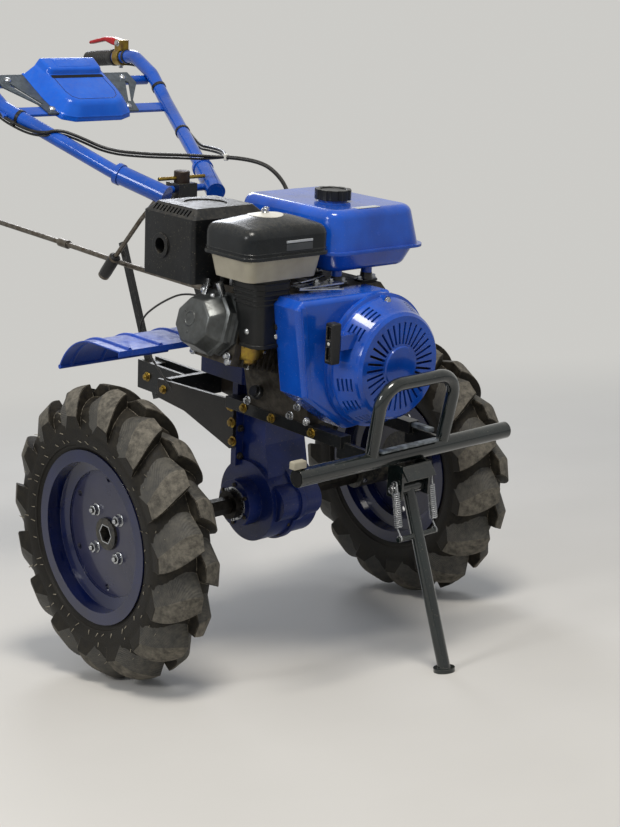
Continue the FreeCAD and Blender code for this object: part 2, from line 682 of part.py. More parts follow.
def air_filter_cover():
    """A moulded hood, flat on top and curving down toward the tank, with a bead round its rim."""
    x0, x1, y0, top = filter_x0, filter_x1, filter_y0, filter_top
    over = [V(x0, y0, filter_rim), V(x0, y0, top), V(filter_drop_x, y0, top),
            V((filter_drop_x + x1) / 2, y0, top - filter_drop * 0.3), V(x1, y0, top - filter_drop),
            V(x1, y0, filter_rim)]
    edges = [Part.LineSegment(over[0], over[1]).toShape(), Part.LineSegment(over[1], over[2]).toShape(),
             Part.Arc(over[2], over[3], over[4]).toShape(), Part.LineSegment(over[4], over[5]).toShape(),
             Part.LineSegment(over[5], over[0]).toShape()]
    hood = Part.Face(Part.Wire(edges)).extrude(V(0, filter_y1 - y0, 0))
    level_seam = [e for e in hood.Edges
                  if abs(e.BoundBox.XMin - filter_drop_x) < 1 and e.BoundBox.XLength < 1]
    rounded = [e for e in hood.Edges if e.BoundBox.ZMax > filter_rim + 1
               and not any(e.isSame(seam) for seam in level_seam)]
    hood = hood.makeFillet(18, rounded)
    bead = rounded_outline(x0 - 3, x1 + 3, y0 - 3, filter_y1 + 3, filter_rim, 20)
    return fuse([hood, Part.Face(bead).extrude(V(0, 0, 7))])


def air_filter_band():
    return rounded_loft(filter_x0, filter_x1, filter_y0, filter_y1, band_bottom, filter_rim, 18,
                        band_inset + 3, band_inset - 4)


def intake_duct():
    """The elbow under the air filter: a moulded box with ribs round its top."""
    duct = box(duct_x0, duct_x1, duct_y0, cylinder_front, duct_bottom, band_bottom)
    duct = duct.makeFillet(5, [e for e in upright_edges(duct) if e.BoundBox.YMax < duct_y0 + 1])
    ribs = [box(duct_x0 - 4, duct_x1 + 4, duct_y0 - 2, cylinder_front, z, z + 6)
            for z in [band_bottom - 10 - 12 * k for k in range(duct_ribs)]]
    return fuse([duct] + ribs).cut(engine_block())


def carburettor():
    """The float bowl and the body above it, beside the duct."""
    x, y = (duct_x0 + duct_x1) / 2, (duct_y0 + cylinder_front) / 2
    r, z = bowl_radius, duct_bottom
    low = z - bowl_height
    profile = [(0, z), (r + 2, z), (r + 2, z - 4), (r, z - 6), (r, low + 8), (r - 7, low), (7, low),
               (7, low - 6), (0, low - 6)]
    wire = Part.makePolygon([V(x + a, y, b) for a, b in profile + profile[:1]])
    return Part.Face(wire).revolve(V(x, y, 0), Z_AXIS, 360).cut(engine_block())


def throttle_plate():
    """The throttle's plate on the crankcase, under the tank, with its post and bright lever."""
    z = crank_z + crankcase_rise
    plate = box(throttle_x0 + 34, throttle_x1, throttle_y + 12, throttle_y + 46, z, z + 3)
    post = rod((throttle_x0 + 60, throttle_y + 22, z + 2), (throttle_x0 + 60, throttle_y + 22, z + 14), 6)
    lever = box(throttle_x0, throttle_x1, throttle_y, throttle_y + 28, z + 9, z + 12)
    return fuse([plate, post, lever])


# Frame, bumper and stand
def frame_rail():
    """The left rail under the engine, with its foot on the gear case and its strut to the bumper."""
    low = rail_top - rail_height
    rail = box(rail_x - rail_width / 2, rail_x + rail_width / 2, rail_front, rail_rear, low, rail_top)
    foot = box(0, rail_x, rail_rear - rail_foot, rail_rear, low, rail_top - 3)
    strut = box(rail_x - strut_thickness / 2, rail_x + strut_thickness / 2, bar_y, rail_front + 20,
                bar_z - strut_height / 2, bar_z + strut_height / 2)
    shape = fuse([rail, foot, strut]).cut(gearbox_case()).cut(front_bumper())
    return max(shape.Solids, key=lambda solid: solid.Volume)


def bumper_bar():
    return rod((-bar_length / 2, bar_y, bar_z), (bar_length / 2, bar_y, bar_z), bar_radius)


def front_bumper():
    bar = bumper_bar()
    top_y, top_z = bar_y - loop_lean, bar_z + loop_height
    w = loop_half_width
    route = [(-w, bar_y, bar_z), (-w - 4, top_y, top_z), (w + 4, top_y, top_z), (w, bar_y, bar_z)]
    loop = bent_rod(route, loop_radius, loop_bend)
    return fuse([bar, loop, stand_bracket()])


def stand_bracket():
    """Two cheeks and a hooded front sheet under the bar, with the stand's pin and the springs' upper pin."""
    w, s = stand_bracket_half_width, stand_bracket_sheet
    y, z = stand_pivot_y, stand_pivot_z
    top = bar_z - bar_radius + 3
    front = box(-w, w, y - 22, y - 22 + s, z + 18, top)
    hood = prism_x([(y - 22, top - 4), (y - 22, top - 12), (y - 34, top - 26), (y - 38, top - 24)], -w, w)
    cheeks = [box(x, x + s, y - 22, y + 18, z - 16, top) for x in (-w, w - s)]
    pins = [rod((-w - 6, y, z), (w + 6, y, z), stand_pin_radius),
            rod((-spring_x - 6, spring_pin_y, spring_pin_z), (spring_x + 6, spring_pin_y, spring_pin_z), 4)]
    return fuse([front, hood] + cheeks + pins)


def spring_foot_place():
    """Where the springs' lower pin crosses the leg, as (y, z)."""
    foot_z = -leg_drop()
    d = V(0, stand_foot_y - stand_pivot_y, foot_z - stand_pivot_z)
    d.normalize()
    return stand_pivot_y + d.y * spring_foot, stand_pivot_z + d.z * spring_foot


def stand_leg():
    foot_z = -leg_drop()
    top = (0, stand_pivot_y, stand_pivot_z)
    leg = rod(top, (0, stand_foot_y, foot_z + foot_thickness / 2), stand_leg_radius)
    w = stand_bracket_half_width - stand_bracket_sheet - 1
    sleeve = rod((-w, stand_pivot_y, stand_pivot_z), (w, stand_pivot_y, stand_pivot_z), stand_pin_radius + 7)
    foot = Part.makeCylinder(foot_radius, foot_thickness, V(0, stand_foot_y, foot_z), floor_normal())
    y, z = spring_foot_place()
    cross = rod((-spring_x - 5, y, z), (spring_x + 5, y, z), 5)
    bore = rod((-w - 1, stand_pivot_y, stand_pivot_z), (w + 1, stand_pivot_y, stand_pivot_z),
               stand_pin_radius + stand_pin_clearance)
    return fuse([leg, sleeve, foot, cross]).cut(bore)


def stand_springs():
    """The two pull springs beside the leg, each a coil's outline with a straight hook at both ends."""
    y1, z1 = spring_foot_place()
    springs = []
    for _, s in SIDES:
        top = V(s * spring_x, spring_pin_y, spring_pin_z - 4.2)
        low = V(s * spring_x, y1, z1 + 5.2)
        along = low - top
        coil = rod(tuple(top + along * 0.14), tuple(top + along * 0.8), spring_radius)
        wire = rod(tuple(top), tuple(low), spring_wire)
        springs.append(fuse([coil, wire]))
    return Part.makeCompound(springs)


def floor_normal():
    """Straight up from the floor, in the machine's own axes."""
    a = math.radians(nose_down_deg)
    return V(0, math.sin(a), math.cos(a))


def leg_drop():
    """How far the foot's underside lies below the axle, so that it meets the floor."""
    a = math.radians(nose_down_deg)
    return (tyre_radius + stand_foot_y * math.sin(a)) / math.cos(a)


# Rear
def gusset():
    front, rear = case_neck_rear - 32, hitch_y0 + 30
    outline = [(front, 212), (front, 112), (front + 10, 106), (196, 150),
               (rear, hitch_z0 + 18), (rear, hitch_z1 - 5)]
    return prism_x(outline, gusset_x, gusset_x + gusset_sheet)


def rear_hitch():
    g, s = hitch_half_gap, hitch_sheet
    cheeks = [box(x, x + s, hitch_y0, hitch_y1, hitch_z0, hitch_z1) for x in (-g - s, g)]
    web = box(-gusset_x, gusset_x, hitch_y0 - 4, hitch_y0 + 10, hitch_z0 + 14, hitch_z1)
    (y0, z0), (y1, z1) = post_foot, post_head
    lean = (y1 - y0) / (z1 - z0)
    y_at = y0 + lean * ((hitch_z0 + hitch_z1) / 2 - z0)
    socket = box(-g, g, y_at - socket_depth, y_at + socket_depth, hitch_z0 + 6, hitch_z1 - 6)
    shape = fuse(cheeks + [web, socket]).cut(drag_post())
    end = g + s + 1
    pin = rod((-end, hitch_pin_y, hitch_pin_z), (end, hitch_pin_y, hitch_pin_z), hitch_pin_radius)
    return shape.cut(pin)


def drag_post():
    (y0, z0), (y1, z1) = post_foot, post_head
    length = math.hypot(y1 - y0, z1 - z0)
    bar = box(-post_thickness / 2, post_thickness / 2, -post_width / 2, post_width / 2, 0, length)
    bar.rotate(V(0, 0, 0), X_AXIS, -math.degrees(math.atan2(y1 - y0, z1 - z0)))
    bar.translate(V(0, y0, z0))
    return bar


def fender():
    """A left fender: flat over the wheel, then down round its rear, with ribs and rolled ends."""
    cy, r, z = fender_turn_y, fender_turn_radius, fender_z
    cz = z - r
    end = math.radians(fender_rear_deg)
    mid = math.radians((90 + fender_rear_deg) / 2)

    def at(radius, angle):
        return V(0, cy + radius * math.cos(angle), cz + radius * math.sin(angle))

    def over(x, radius):
        """The fender's line from its front edge to its rear, at a radius of its arc."""
        top = cz + radius
        edges = [Part.LineSegment(V(0, fender_front, top), V(0, cy, top)).toShape(),
                 Part.Arc(V(0, cy, top), at(radius, mid), at(radius, end)).toShape()]
        wire = Part.Wire(edges)
        wire.translate(V(x, 0, 0))
        return wire

    outer, inner = over(fender_x0, r), over(fender_x0, r - fender_sheet)
    ends = [Part.LineSegment(outer.Vertexes[k].Point, inner.Vertexes[k].Point).toShape() for k in (0, -1)]
    sheet = Part.Face(Part.Wire(Part.__sortEdges__(outer.Edges + inner.Edges + ends)))
    width = fender_x1 - fender_x0
    pieces = [sheet.extrude(V(width, 0, 0))]
    for x in fender_ribs:
        path = over(x, r - 1)
        ring = Part.Wire([Part.Circle(V(x, fender_front, z - 1), Y_AXIS, fender_rib_radius).toShape()])
        rib = path.makePipeShell([ring], True, False)
        pieces.append(rib)
    pieces.append(box(fender_x0, fender_x1, fender_front - fender_sheet, fender_front, z - fender_lip, z))
    rolled = at(r - 2, end)
    pieces.append(rod((fender_x0, rolled.y, rolled.z), (fender_x1, rolled.y, rolled.z), 4.5))
    under = z - fender_sheet
    pieces.append(box(case_head_half_width, fender_ribs[1], 24, 54, under - 6, under))
    pieces.append(box(case_head_half_width, case_head_half_width + 6, 14, 64, under - 40, under))
    return fuse(pieces)


# Handlebar
def handle_column():
    (y0, z0), (y1, z1) = (column_foot_y, column_foot_z), (hinge_y, hinge_z - 20)
    h = column_half_width
    tube = prism_x([(y0, z0 - 30), (y1 - h, z1), (y1 + h, z1), (y0 + 40, z0 - 30)], -h, h)
    head = box(-head_half_width, head_half_width, hinge_y - 24, hinge_y + 24, hinge_z - 24, hinge_z + 14)
    bore = rod((-head_half_width - 1, hinge_y, hinge_z), (head_half_width + 1, hinge_y, hinge_z),
               hinge_rod_radius + hinge_clearance)
    foot = box(-50, 50, case_head_rear, case_head_rear + 14, 290, 400)
    block = rod((0, hinge_y, hinge_z + 12), (0, hinge_y, hinge_z + 34), 15)
    return fuse([tube, head, foot, block]).cut(bore)


def handle_side(sign):
    route = [(sign * x, y, z) for x, y, z in handle_route]
    return bent_rod(route, tube_radius, handle_bend)


def handle_fork():
    rod_x = handle_route[0][0] + 14
    pieces = [rod((-rod_x, hinge_y, hinge_z), (rod_x, hinge_y, hinge_z), hinge_rod_radius)]
    a, b = V(*handle_route[0]), V(*handle_route[1])
    end = a + (b - a) * 0.9
    band = a + (b - a) * 0.82
    for _, s in SIDES:
        pieces.append(rod((s * a.x, a.y, a.z), (s * end.x, end.y, end.z), sleeve_radius))
        pieces.append(rod((s * band.x, band.y, band.z), (s * end.x, end.y, end.z), sleeve_radius + 2.5))
    shape = fuse(pieces)
    for _, s in SIDES:
        shape = shape.cut(rod((s * a.x, a.y, a.z), (s * b.x, b.y, b.z), tube_radius))
    return shape


def console_tilt():
    return math.degrees(math.atan2(cross_z - strap_z, cross_y - strap_y))


def on_console(shape):
    """From the console plate's own axes, with its underside at z = 0, to the machine's."""
    shape.rotate(V(0, 0, 0), X_AXIS, console_tilt())
    shape.translate(V(0, strap_y, strap_z))
    return shape


def handle_crossbar():
    reach = handle_route[3][0]
    span = math.hypot(cross_y - strap_y, cross_z - strap_z)
    bar = on_console(rod((-reach, span, -cross_radius), (reach, span, -cross_radius), cross_radius))
    return between_tubes(bar)


def between_tubes(shape):
    cut = shape.cut(handle_side(-1)).cut(handle_side(1))
    return [solid for solid in cut.Solids if abs(solid.CenterOfMass.x) < tube_radius][0]


def mirrored_plan(points):
    """Both halves of an outline, from its left half."""
    return points + [(-x, y) for x, y in reversed(points)]


def plan_prism(points, z0, z1):
    wire = Part.makePolygon([V(x, y, z0) for x, y in points + points[:1]])
    return Part.Face(wire).extrude(V(0, 0, z1 - z0))


def console_plate():
    """A slotted wing at each side of the console, their joining sheet, and the strap between the tubes."""
    t = plate_sheet
    pieces = [box(-90, 90, wing_plan[0][1], wing_plan[-1][1], 0, t),
              box(-236, 236, -strap_half_width, strap_half_width, -strap_sheet, 0)]
    slots = []
    for s in (-1, 1):
        wing = plan_prism([(s * x, y) for x, y in wing_plan], 0, t)
        pieces.append(wing)
        slots.append(plan_prism([(s * x, y) for x, y in wing_slot], -1, t + 1))
    return between_tubes(on_console(fuse(pieces).cut(Part.makeCompound(slots))))


def console_cover():
    """A moulded cover with a blunt nose, sides that lean in, and a raised crown at its rear."""
    low = [(x, y, plate_sheet) for x, y in mirrored_plan(cover_plan)]
    top = [(x, y, cover_rise) for x, y in mirrored_plan(cover_top_plan)]
    body = between_outlines(low, top)
    crown_low = [(x * 1.12, y - (5 if y < 100 else -3), cover_rise - 1)
                 for x, y in mirrored_plan(crown_plan)]
    crown_top = [(x, y, crown_rise) for x, y in mirrored_plan(crown_plan)]
    crown = between_outlines(crown_low, crown_top)
    (nose_x, nose_y), drop = cover_plan[0], 8.0
    chin = box(-nose_x, nose_x, nose_y, wing_plan[0][1] - 0.5, -drop, plate_sheet)
    return on_console(fuse([body, crown, chin]))


def grip():
    a, b = V(*handle_route[-1]), V(*handle_route[-2])
    d = (b - a).normalize()
    tip = a - d * 4
    root = a + d * grip_length
    shape = rod(tip, root, grip_radius)
    return shape.cut(rod(a, a + d * (grip_length + 20), tube_radius))


def clamp_lever():
    shape = bent_rod(clamp_route, 5, 60)
    handle = rod(clamp_route[-1], clamp_end, shift_grip_radius)
    hinge = rod((-100, hinge_y, hinge_z), (0, hinge_y, hinge_z), hinge_rod_radius)
    return fuse([shape, handle]).cut(hinge)


def shift_rod():
    """The long rod from the gear case to its upturned grip, with a joint on the way."""
    x, r = shift_rod_x, shift_rod_radius
    route = [(x, y, z) for z, y in shift_rod_route]
    shape = bent_rod(route, r, 200)
    grip_y, grip_z = shift_grip
    up = rod(route[-1], (x, grip_y, grip_z), shift_grip_radius)
    joint = V(*route[2])
    before = V(*route[1])
    along = (joint - before).normalize()
    sleeve = rod(tuple(joint - along * 70), tuple(joint - along * 36), r + 4)
    return fuse([shape, up, sleeve])


def lever_perch():
    """A clamp round the left tube, just ahead of its grip, with the ears that hold the lever."""
    a, b = V(*handle_route[-1]), V(*handle_route[-2])
    d = (b - a).normalize()
    c = a + d * (grip_length + 22)
    ring = rod(c - d * 12, c + d * 12, tube_radius + 5)
    ear = box(c.x - 11, c.x + 11, c.y - 16, c.y + 12, c.z + tube_radius, c.z + tube_radius + 26)
    return fuse([ring, ear]).cut(rod(a, b, tube_radius))


def control_lever():
    """The lever above the left grip, hung in the perch."""
    a, b = V(*handle_route[-1]), V(*handle_route[-2])
    d = (b - a).normalize()
    c = a + d * (grip_length + 22)
    z = c.z + tube_radius + 18
    # the blade's outline, as distance behind the perch and height over its pin
    outline = [(4, -8), (4, 6), (60, 10), (126, -2), (124, -10), (60, 0), (30, -8)]
    blade = prism_x([(c.y + a, z + b) for a, b in outline], c.x - 9, c.x + 9)
    return blade.cut(lever_perch())


def tube_point(side, run, part):
    """A point of a handle tube's line: a fraction of the way along one of its runs."""
    a, b = V(*handle_route[run]), V(*handle_route[run + 1])
    c = a + (b - a) * part
    return V(side * c.x, c.y, c.z)


def loom(side, free_run, joins):
    """The cables of one side: a free run from the clip, then taped beside the tube up to the perch."""
    beside = V(side * cable_beside[0], cable_beside[1], cable_beside[2])
    last_run = len(handle_route) - 2
    length = (tube_point(side, last_run, 1) - tube_point(side, last_run, 0)).Length
    ending = 1 - (grip_length + 42) / length
    on_tube = [tube_point(side, 1, joins)] + [tube_point(side, run, 0) for run in range(2, last_run + 1)]
    on_tube.append(tube_point(side, last_run, ending))
    points = list(free_run) + [tuple(p + beside) for p in on_tube]
    bends = [None] * len(free_run[1:]) + [None] + [handle_bend] * (len(on_tube) - 2)
    pieces = [bent_rod(points, cable_radius, bends)]
    for run, part in ((1, joins + 0.1), (2, 0.5), (last_run, ending - 0.03)):
        here = tube_point(side, run, part)
        along = (tube_point(side, run, 1) - here).normalize() * 6
        for centre, radius in ((here, tube_radius + 1.6), (here + beside, cable_radius + 2.4)):
            pieces.append(rod(tuple(centre - along), tuple(centre + along), radius))
    return fuse(pieces).cut(handle_side(side))


def engine_cable():
    """The cables from the gear case's head up behind the tank to the white clip where they part."""
    cable = bent_rod(engine_cable_route, cable_radius + 1)
    x, y, z = cable_clip
    return fuse([cable, box(x - 5, x + 5, y - 4, y + 4, z - 7, z + 7)]).cut(gearbox_case())


def gear_cable():
    return bent_rod(gear_cable_route, thin_cable_radius).cut(gearbox_case()).cut(mirrored(gusset()))


for side, s in SIDES:
    flip = (lambda shape: shape) if s > 0 else mirrored
    add("tyre_" + side, flip(tyre()))
    add("rim_" + side, flip(rim()))
    add("hub_" + side, flip(hub()))
    add("gusset_" + side, flip(gusset()))
    add("frame_rail_" + side, flip(frame_rail()))
    add("fender_" + side, flip(fender()))
    add("grip_" + side, flip(grip()))
    add("lever_perch_" + side, flip(lever_perch()))
    add("control_lever_" + side, flip(control_lever()))
    add("handle_tube_" + side, handle_side(s))
add("loom_right", loom(-1, right_cable_run, right_cable_joins))
add("loom_left", loom(1, left_cable_run, left_cable_joins))

for build in (axle_shaft, gearbox_case, clutch_housing, engine_block, rocker_cover, fan_shroud, recoil_cover,
              recoil_handle, fuel_tank, fuel_cap, muffler, air_filter_cover, air_filter_band, intake_duct,
              carburettor, front_bumper, stand_leg, rear_hitch, drag_post,
              throttle_plate, stand_springs, handle_column, handle_fork, handle_crossbar, console_plate,
              console_cover, clamp_lever, shift_rod, engine_cable, gear_cable):
    add(build.__name__, build())

# The stance: nose-down about the axle, wheels on the floor, middle of the length at y = 0
for shape in NODES.values():
    shape.rotate(V(0, 0, 0), X_AXIS, nose_down_deg)
    shape.translate(V(0, 0, tyre_radius))
front = min(shape.BoundBox.YMin for shape in NODES.values())
rear = max(shape.BoundBox.YMax for shape in NODES.values())
middle = (front + rear) / 2
for name, shape in NODES.items():
    shape.translate(V(0, -middle, 0))
    shape.exportStep("parts/" + name + ".step")
    state = "valid" if shape.isValid() else "NOT VALID"
    print(name, len(shape.Solids), round(shape.Volume / 1000), "cm3", state)
print("axle at y", round(-middle, 3), "z", tyre_radius)
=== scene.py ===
# %% [markdown]
# # A walk-behind power tiller
# The machine stands on two lugged tyres and a folding front stand. Its solids come ready made, in metres,
# with the floor at z = 0. This lesson gives them finishes and adds the small parts that the eye looks for.

# %% Load the solids
import bpy
import bmesh
import json
import math
import random
from mathutils import Matrix, Vector


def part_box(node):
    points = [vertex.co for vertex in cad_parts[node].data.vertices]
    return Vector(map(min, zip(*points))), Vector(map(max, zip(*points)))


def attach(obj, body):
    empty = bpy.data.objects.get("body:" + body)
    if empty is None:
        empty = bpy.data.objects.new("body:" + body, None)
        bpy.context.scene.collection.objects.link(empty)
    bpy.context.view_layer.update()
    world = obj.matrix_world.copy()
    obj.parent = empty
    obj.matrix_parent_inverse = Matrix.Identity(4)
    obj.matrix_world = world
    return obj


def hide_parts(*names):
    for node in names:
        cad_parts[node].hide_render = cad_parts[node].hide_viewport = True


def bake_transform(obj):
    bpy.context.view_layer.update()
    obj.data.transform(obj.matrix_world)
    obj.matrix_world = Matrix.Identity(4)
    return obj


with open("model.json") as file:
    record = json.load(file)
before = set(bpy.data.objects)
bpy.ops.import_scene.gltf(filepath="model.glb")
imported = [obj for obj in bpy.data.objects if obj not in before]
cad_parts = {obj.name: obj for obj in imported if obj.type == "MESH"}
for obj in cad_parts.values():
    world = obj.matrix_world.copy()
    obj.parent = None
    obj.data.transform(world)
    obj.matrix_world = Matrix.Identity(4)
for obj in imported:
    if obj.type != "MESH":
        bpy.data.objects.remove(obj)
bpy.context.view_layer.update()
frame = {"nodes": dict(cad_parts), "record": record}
NODES = frame["nodes"]
MM = 0.001

# %% [markdown]
# ## The machine's own axes
# The machine leans forward on its stand by ten degrees. Places are easier to give with the engine level, so
# one matrix turns such a place, in millimetres from the axle's middle, into the scene.

# %% Axes of the level machine
NOSE_DOWN = math.radians(10.0)
low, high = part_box("axle_shaft")
AXLE = (low + high) / 2
LEVEL = Matrix.Translation(AXLE) @ Matrix.Rotation(NOSE_DOWN, 4, "X") @ Matrix.Scale(MM, 4)
print("axle at", tuple(AXLE))

# %% [markdown]
# ## Camera
# The photograph was taken from the front, on the machine's right, at about the height of a chest. A long
# lens keeps the near wheel from growing too large. The camera is turned by its three axes, written as the
# columns of a matrix, which is surer than three angles.

# %% Camera
YAW, PITCH, ROLL = 0.713, 0.148, -0.073
LENS_MM, SENSOR_MM = 72.4, 36.0
CAMERA_PLACE = (-2.18103, AXLE.y - 2.67302, 0.97606)
forward = Vector((math.sin(YAW) * math.cos(PITCH), math.cos(YAW) * math.cos(PITCH), -math.sin(PITCH)))
level_right = Vector((math.cos(YAW), -math.sin(YAW), 0.0))
level_up = level_right.cross(forward)
right = level_right * math.cos(ROLL) + level_up * math.sin(ROLL)
up = level_up * math.cos(ROLL) - level_right * math.sin(ROLL)

camera_data = bpy.data.cameras.new("camera")
camera_data.lens = LENS_MM
camera_data.sensor_width = SENSOR_MM
camera = bpy.data.objects.new("camera", camera_data)
bpy.context.scene.collection.objects.link(camera)
camera_axes = Matrix((right, up, -forward)).transposed().to_4x4()
camera.matrix_world = Matrix.Translation(CAMERA_PLACE) @ camera_axes
bpy.context.scene.camera = camera
print("camera at", tuple(camera.location))

# %% [markdown]
# ## Finishes
# Every finish is a small tree of nodes. One helper adds a node, sets its options and its sockets, and hands
# back the output that the next node needs.

# %% Helpers for finishes


def linear(hex_colour):
    """An sRGB hex colour as the linear colour that a shader takes."""
    values = [int(hex_colour[i:i + 2], 16) / 255 for i in (1, 3, 5)]
    return tuple(v / 12.92 if v <= 0.04045 else ((v + 0.055) / 1.055) ** 2.4 for v in values) + (1.0,)


def per_mm(size):
    """The scale of a pattern whose features are as large as the given millimetres."""
    return 1000.0 / size


def add_node(tree, kind, inputs=(), out=None, **options):
    """Adds a shader node and returns one of its outputs: the first in use, or the one named."""
    made = tree.nodes.new("ShaderNode" + kind)
    for name, value in options.items():
        setattr(made, name, value)
    for name, value in dict(inputs).items():
        into = made.inputs[name] if isinstance(name, int) else next(
            s for s in made.inputs if s.enabled and name in (s.name, s.identifier))
        if isinstance(value, bpy.types.NodeSocket):
            tree.links.new(value, into)
        else:
            into.default_value = value
    if not made.outputs:
        return None
    return made.outputs[out] if out else next(s for s in made.outputs if s.enabled)


def start_finish(name):
    material = bpy.data.materials.new(name)
    material.use_nodes = True
    material.node_tree.nodes.clear()
    return material, material.node_tree, add_node(material.node_tree, "TexCoord", out="Object")


def close_finish(tree, **sockets):
    """The surface itself; socket names are given with _ for a space."""
    names = {name.replace("_", " "): value for name, value in sockets.items()}
    surface = add_node(tree, "BsdfPrincipled", names)
    add_node(tree, "OutputMaterial", {"Surface": surface})


def mix(tree, share, a, b):
    """Two colours mixed; each is a hex colour or a socket."""
    ends = [linear(c) if isinstance(c, str) else c for c in (a, b)]
    return add_node(tree, "Mix", {"Factor": share, "A": ends[0], "B": ends[1]}, data_type="RGBA")


def math_of(tree, operation, *values):
    return add_node(tree, "Math", dict(enumerate(values)), operation=operation)


def product(tree, a, b):
    return math_of(tree, "MULTIPLY", a, b)


def stretch(tree, value, low=0.0, high=1.0, to_low=0.0, to_high=1.0, **options):
    """A value stretched from the range low to high onto the range to_low to to_high."""
    return add_node(tree, "MapRange", {"Value": value, "From Min": low, "From Max": high, "To Min": to_low,
                                       "To Max": to_high}, **options)


def noise(tree, place, size_mm, detail=3.0, roughness=0.5):
    return add_node(tree, "TexNoise", {"Vector": place, "Scale": per_mm(size_mm), "Detail": detail,
                                       "Roughness": roughness})


def noise_between(tree, place, size_mm, low, high, top=1.0, detail=4.0, roughness=0.5):
    """A noise pattern, stretched so that it runs from 0 at low to its top at high."""
    return stretch(tree, noise(tree, place, size_mm, detail, roughness), low, high, 0.0, top)


def grain(tree, height, depth_mm, under):
    """The normal under it, roughened by a pattern of heights to a depth in mm."""
    return add_node(tree, "Bump", {"Height": height, "Distance": depth_mm * MM, "Normal": under})


def upward(tree):
    """One where the surface faces up, and a tenth of that where it doesn't."""
    normal = add_node(tree, "NewGeometry", out="Normal")
    height = add_node(tree, "SeparateXYZ", {"Vector": normal}, out="Z")
    return stretch(tree, height, 0.2, 1.0, 0.1)


def edge_wear(tree, place, radius_mm, amount):
    """Shows where an edge is worn: there the rounded normal leans away from the flat one."""
    rounded = add_node(tree, "Bevel", {"Radius": radius_mm * MM}, samples=4)
    flat = add_node(tree, "NewGeometry", out="Normal")
    lean = add_node(tree, "VectorMath", {0: rounded, 1: flat}, operation="DOT_PRODUCT", out="Value")
    near = stretch(tree, lean, 0.97, 0.8)
    broken = noise_between(tree, place, 6, 0.42, 0.6, amount, 6.0, 0.7)
    return rounded, product(tree, near, broken)


# %% [markdown]
# ## Enamel on sheet steel and castings
# The engine's tinware, the rims and the tubes are sprayed and baked enamel: a hard gloss over a deep colour,
# with a faint orange-peel ripple, a light bloom of dust where it can settle, and duller, scuffed patches.
# Cast pieces show the coarse skin of the sand mould under the paint. It thins on edges and chips there.

# %% Enamel
DUST = "#8a8271"
BARE = "#8f8a80"
DUST_DULLS = 0.6


def enamel(name, colour, deep, gloss=0.16, dust=0.2, grain_mm=4.0, grain_depth=0.03, coat=0.5, edge_mm=1.6,
           chips=0.25, settles=True):
    """Gloss enamel; grain_depth in mm is small for sheet steel and large for a casting."""
    material, tree, place = start_finish(name)
    paint = mix(tree, noise_between(tree, place, 90, 0.35, 0.65), deep, colour)
    edge, worn = edge_wear(tree, place, edge_mm, chips)
    film = noise_between(tree, place, 12, 0.42, 0.8, dust, 8.0, 0.75)
    if settles:
        film = product(tree, film, upward(tree))
    grit = noise_between(tree, place, 2.5, 0.68, 0.74, min(1.0, dust * 2.0), 2.0)
    film = math_of(tree, "MAXIMUM", film, grit)
    tint = mix(tree, worn, mix(tree, film, paint, DUST), BARE)
    scuffed = math_of(tree, "ADD", noise_between(tree, place, 30, 0.5, 0.85, 0.18, 5.0), gloss)
    dull = math_of(tree, "MULTIPLY_ADD", film, DUST_DULLS, scuffed)
    ripple = grain(tree, noise(tree, place, grain_mm), grain_depth, edge)
    close_finish(tree, Base_Color=tint, Roughness=dull, Normal=ripple, Specular_IOR_Level=0.25,
                 Coat_Weight=coat, Coat_Roughness=0.05)
    return material


tinware_blue = enamel("tinware_blue_enamel", "#0a52bd", "#0842a0")
fender_blue = enamel("fender_dusty_blue_enamel", "#1246ac", "#0d3890", gloss=0.42, coat=0.1, dust=0.45)
case_blue = enamel("cast_iron_blue_enamel", "#0c2468", "#081a4a", gloss=0.34, grain_mm=2.2, grain_depth=0.4,
                   coat=0.2, dust=0.3)
tube_blue = enamel("tube_blue_enamel", "#0d52b8", "#0a449c", gloss=0.14, chips=0.4)
frame_black = enamel("frame_black_enamel", "#15181a", "#0c0e10", gloss=0.28, dust=0.35, coat=0.35, chips=0.6)
bumper_black = enamel("bumper_green_black_enamel", "#131e1e", "#0a1213", gloss=0.15, coat=0.9, chips=0.7)
hub_black = enamel("hub_black_enamel", "#1b1d1f", "#101214", gloss=0.35, dust=0.45, coat=0.2, settles=False)
heat_black = enamel("muffler_heat_paint", "#15171a", "#0c0d0e", gloss=0.36, dust=0.3, grain_mm=1.2,
                    grain_depth=0.08, coat=0.15, edge_mm=1.2)
gusset_black = enamel("gusset_brown_black_enamel", "#201c18", "#120f0d", gloss=0.32, coat=0.25, chips=0.5)
print("enamels:", len(bpy.data.materials))

# %% [markdown]
# The rim is the same enamel in navy. Its flat disc, inside the barrel, has a pale film on it, dried dust
# together with a painted reflection of the light, which ends where the barrel begins, so the film follows
# the distance from the axle.

# %% Rim enamel
DISC_RADIUS = 0.126


def reach_from_axle(tree, place):
    """How far a place is from the axle's line."""
    from_axle = add_node(tree, "VectorMath", {0: place, 1: AXLE}, operation="SUBTRACT")
    across = add_node(tree, "VectorMath", {0: from_axle, 1: (0.0, 1.0, 1.0)}, operation="MULTIPLY")
    return add_node(tree, "VectorMath", {0: across}, operation="LENGTH", out="Value")


